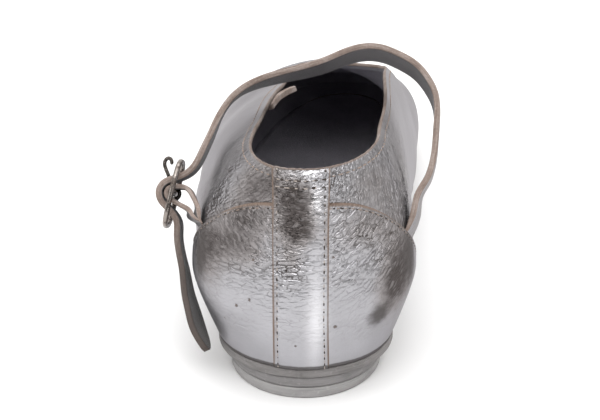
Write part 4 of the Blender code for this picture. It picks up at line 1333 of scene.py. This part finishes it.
# Stitches
def stitch_tree():
    """Geometry nodes that set threads or holes of uneven size at even steps along each line of a mesh."""
    tree = bpy.data.node_groups.new("stitch_row", "GeometryNodeTree")
    sockets_of = tree.interface
    sockets_of.new_socket("Lines", in_out="INPUT", socket_type="NodeSocketGeometry")
    for label in ("Pitch", "Start", "Length", "Width"):
        sockets_of.new_socket(label, in_out="INPUT", socket_type="NodeSocketFloat")
    sockets_of.new_socket("Finish", in_out="INPUT", socket_type="NodeSocketMaterial")
    sockets_of.new_socket("Stitches", in_out="OUTPUT", socket_type="NodeSocketGeometry")
    nodes, links = tree.nodes, tree.links

    def add(kind, settings=None, sockets=None):
        made = nodes.new(kind)
        for key, value in (settings or {}).items():
            setattr(made, key, value)
        for key, value in (sockets or {}).items():
            if isinstance(value, bpy.types.NodeSocket):
                links.new(value, made.inputs[key])
            else:
                made.inputs[key].default_value = value
        return made
    inputs = add("NodeGroupInput")
    curve = add("GeometryNodeMeshToCurve", None, {"Mesh": inputs.outputs["Lines"]})
    trim = add("GeometryNodeTrimCurve", {"mode": "LENGTH"}, {"Curve": curve.outputs["Curve"]})
    start, end = ([s for s in trim.inputs if s.name == name][-1] for name in ("Start", "End"))
    links.new(inputs.outputs["Start"], start)
    end.default_value = 10.0
    steps = add("GeometryNodeCurveToPoints", {"mode": "LENGTH"},
                {"Curve": trim.outputs["Curve"], "Length": inputs.outputs["Pitch"]})
    bead = add("GeometryNodeMeshUVSphere", None, {"Segments": 8, "Rings": 5, "Radius": 1.0})
    size = add("ShaderNodeCombineXYZ", None, {"X": inputs.outputs["Width"], "Y": inputs.outputs["Width"],
                                              "Z": inputs.outputs["Length"]})
    uneven = add("FunctionNodeRandomValue", {"data_type": "FLOAT_VECTOR"},
                 {"Min": (0.75, 0.85, 0.6), "Max": (1.5, 1.1, 1.35), "Seed": STITCH_SEED})
    varied = add("ShaderNodeVectorMath", {"operation": "MULTIPLY"})
    links.new(size.outputs["Vector"], varied.inputs[0])
    links.new(uneven.outputs["Value"], varied.inputs[1])
    copies = add("GeometryNodeInstanceOnPoints", None, {
        "Points": steps.outputs["Points"], "Instance": bead.outputs["Mesh"],
        "Rotation": steps.outputs["Rotation"], "Scale": varied.outputs["Vector"]})
    real = add("GeometryNodeRealizeInstances", None, {"Geometry": copies.outputs["Instances"]})
    smooth = add("GeometryNodeSetShadeSmooth", None, {"Geometry": real.outputs["Geometry"]})
    coat = add("GeometryNodeSetMaterial", None, {"Geometry": smooth.outputs["Geometry"],
                                                 "Material": inputs.outputs["Finish"]})
    result = add("NodeGroupOutput")
    links.new(coat.outputs["Geometry"], result.inputs["Stitches"])
    return tree


STITCH_TREE = stitch_tree()


def sew(name, lines, start, size, finish):
    """Threads or holes of a length and width along lines of points, as one plain mesh."""
    mesh = bpy.data.meshes.new(name + "_lines")
    points, edges = [], []
    for line in lines:
        first = len(points)
        points += in_frame(line).tolist()
        edges += [(first + i, first + i + 1) for i in range(len(line) - 1)]
    mesh.from_pydata(points, edges, [])
    holder = add_object(name + "_lines", mesh)
    rows = holder.modifiers.new("stitches", "NODES")
    rows.node_group = STITCH_TREE
    values = {"Pitch": STITCH_PITCH * MM, "Start": start * MM, "Length": size[0] / 2 * MM,
              "Width": size[1] / 2 * MM, "Finish": finish}
    for item in STITCH_TREE.interface.items_tree:
        if item.in_out == "INPUT" and item.name in values:
            rows[item.identifier] = values[item.name]
    bpy.context.view_layer.update()
    made = bpy.data.meshes.new_from_object(holder.evaluated_get(bpy.context.evaluated_depsgraph_get()))
    bpy.data.objects.remove(holder)
    made.name = name
    return settle(add_object(name, made), "silver_leather")


def strip_line(half, low, high, off):
    """A line up the strip, so far from its middle."""
    level = np.linspace(low, high, 160)
    side = -1 if half < 0 else 1
    return above_leather(side, way_at_half_width(side, level, abs(half)), level, off)


def across_line(drop, half, off):
    """A line across the top of the strip, so far under the collar."""
    line = []
    for share in np.linspace(-1, 1, 60):
        side = -1 if share < 0 else 1
        level = level_at(side, np.array([0.0]), np.array([COLLAR_BACK_Z - drop]))
        way = way_at_half_width(side, level, abs(share) * half + 1e-3)
        line.append(above_leather(side, way, level, off)[0])
    return np.array(line)


def line_under_edge(side, way, level, drop, off, trim=0):
    """A line so far under a grid's top border and off the leather, less some columns at its ends."""
    sheet = above_leather(side, way, level, off)
    top = edge_distance(last_surface(side, way, level))[2]
    return np.array([[np.interp(-drop, -top[:, column], sheet[:, column, axis]) for axis in range(3)]
                     for column in range(trim, way.shape[1] - trim)])


def panel_line(side, drop, off):
    """A line under the raw top edge of a heel panel."""
    return line_under_edge(side, *panel_grid(side, 160, 120), drop, off, 2)


def collar_line(side, drop, off):
    """A line along the collar, so far under its edge, from the strip to the corner of the throat."""
    first = way_at_half_width(side, np.array(1.0), STRIP_HALF + 0.6)
    grid = np.meshgrid(np.linspace(first, AT_CORNER, 200), np.linspace(0.75, 1, 60))
    return line_under_edge(side, *grid, drop, off)


def make_stitches():
    """Pale thread between needle holes painted as dark shade, up the strip, across its top and along the
    panels' edges.
    """
    seam = STRIP_HALF - SEAM_IN
    sides = (-1, 1)
    up = [strip_line(side * seam, *SEAM_LEVELS, STRIP_OUT * SEAM_SINK) for side in sides]
    across = [across_line(drop, seam - COLLAR_SHORT, STRIP_OUT * COLLAR_SINK) for drop in COLLAR_ROWS]
    tops = [panel_line(side, SEAM_IN, PANEL_OUT * SEAM_SINK) for side in sides]
    seams = ("strip", up, PALE_THREAD), ("collar", across, PALE_THREAD), ("counter", tops, TAN_THREAD)
    for name, lines, finish in seams:
        sew(name + "_thread", lines, 0.0, THREAD_SIZE, finish)
        sew(name + "_needle_holes", lines, STITCH_PITCH / 2, HOLE_SIZE, NEEDLE_HOLE_SHADE)
    topline = [collar_line(side, TOPLINE_IN, TOPLINE_OFF) for side in sides]
    sew("topline_thread", topline, 0.0, TOPLINE_SIZE, TAN_THREAD)


make_upper()
make_counter(-1, "counter_lateral")
make_counter(1, "counter_medial")
make_back_strip()
make_outsole()
lift_bottom, lift_top = TOP_LIFT_THICK + LIFT_GAP, HEEL_SEAT - SOLE_THICK - LIFT_GAP
make_heel_layer("heel_top_piece", "heel_top_lift", TOP_PIECE, "floor", "joint", 0.0, TOP_LIFT_THICK)
make_heel_layer("heel_stack_lift", "heel_lift", STACK, "joint", "seat", lift_bottom, lift_top)
make_insole()
make_ankle_strap()
make_buckle_strap()
make_collar_tab()
make_buckle()
make_stitches()


# Floor, light and camera
def make_floor():
    bpy.ops.mesh.primitive_plane_add(size=12, location=(0, 0, 0))
    floor = bpy.context.object
    floor.name = "studio_floor"
    floor.data.materials.append(pale_floor())


def point_at(thing, place, aim):
    """Sets a light or the camera at a place, so that it looks at a point."""
    place, aim = Vector(place), Vector(aim)
    thing.location = place
    thing.rotation_euler = (aim - place).to_track_quat("-Z", "Y").to_euler()


def add_softbox(name, place, aim, size, power):
    light = bpy.data.lights.new(name, "AREA")
    light.shape = "RECTANGLE"
    light.size, light.size_y = size
    light.energy = power
    point_at(add_object(name, light), place, aim)


def light_studio():
    """Softboxes overhead, behind the heel and on both sides, in a room that is dark behind the viewer."""
    world = bpy.data.worlds.new("studio")
    bpy.context.scene.world = world
    world.use_nodes = True
    tree = world.node_tree
    back = tree.nodes["Background"]
    where = tree.nodes.new("ShaderNodeTexCoord")
    split = tree.nodes.new("ShaderNodeSeparateXYZ")
    tree.links.new(where.outputs["Generated"], split.inputs["Vector"])
    ramp = tree.nodes.new("ShaderNodeMapRange")
    for key, value in (("From Min", -0.9), ("From Max", 0.6), ("To Min", 0.10), ("To Max", 1.1)):
        ramp.inputs[key].default_value = value
    tree.links.new(split.outputs["Y"], ramp.inputs["Value"])
    tree.links.new(ramp.outputs["Result"], back.inputs["Strength"])
    back.inputs["Color"].default_value = (1.0, 0.985, 0.97, 1)
    add_softbox("overhead_softbox", (0.0, -0.3, 1.6), (0, -0.3, 0), (2.4, 2.4), 37)
    add_softbox("back_softbox", (0.03, -1.2, 1.2), (0, 0, 0.04), (1.2, 0.5), 6.5)
    add_softbox("left_softbox", (-1.2, -0.5, 0.75), (0, 0, 0.03), (0.7, 0.7), 3.0)
    add_softbox("right_window", (0.55, -1.5, 0.75), (0, -0.1, 0.06), (0.4, 0.6), 2.2)


def add_camera():
    """Eye above and behind the heel, as in the photograph."""
    lens = bpy.data.cameras.new("photo_view")
    lens.lens = LENS
    lens.sensor_width = 36
    camera = add_object("photo_view", lens)
    point_at(camera, in_frame(EYE), in_frame(LOOK_AT))
    bpy.context.scene.camera = camera


make_floor()
light_studio()
add_camera()
bpy.context.scene.view_settings.view_transform = "Standard"
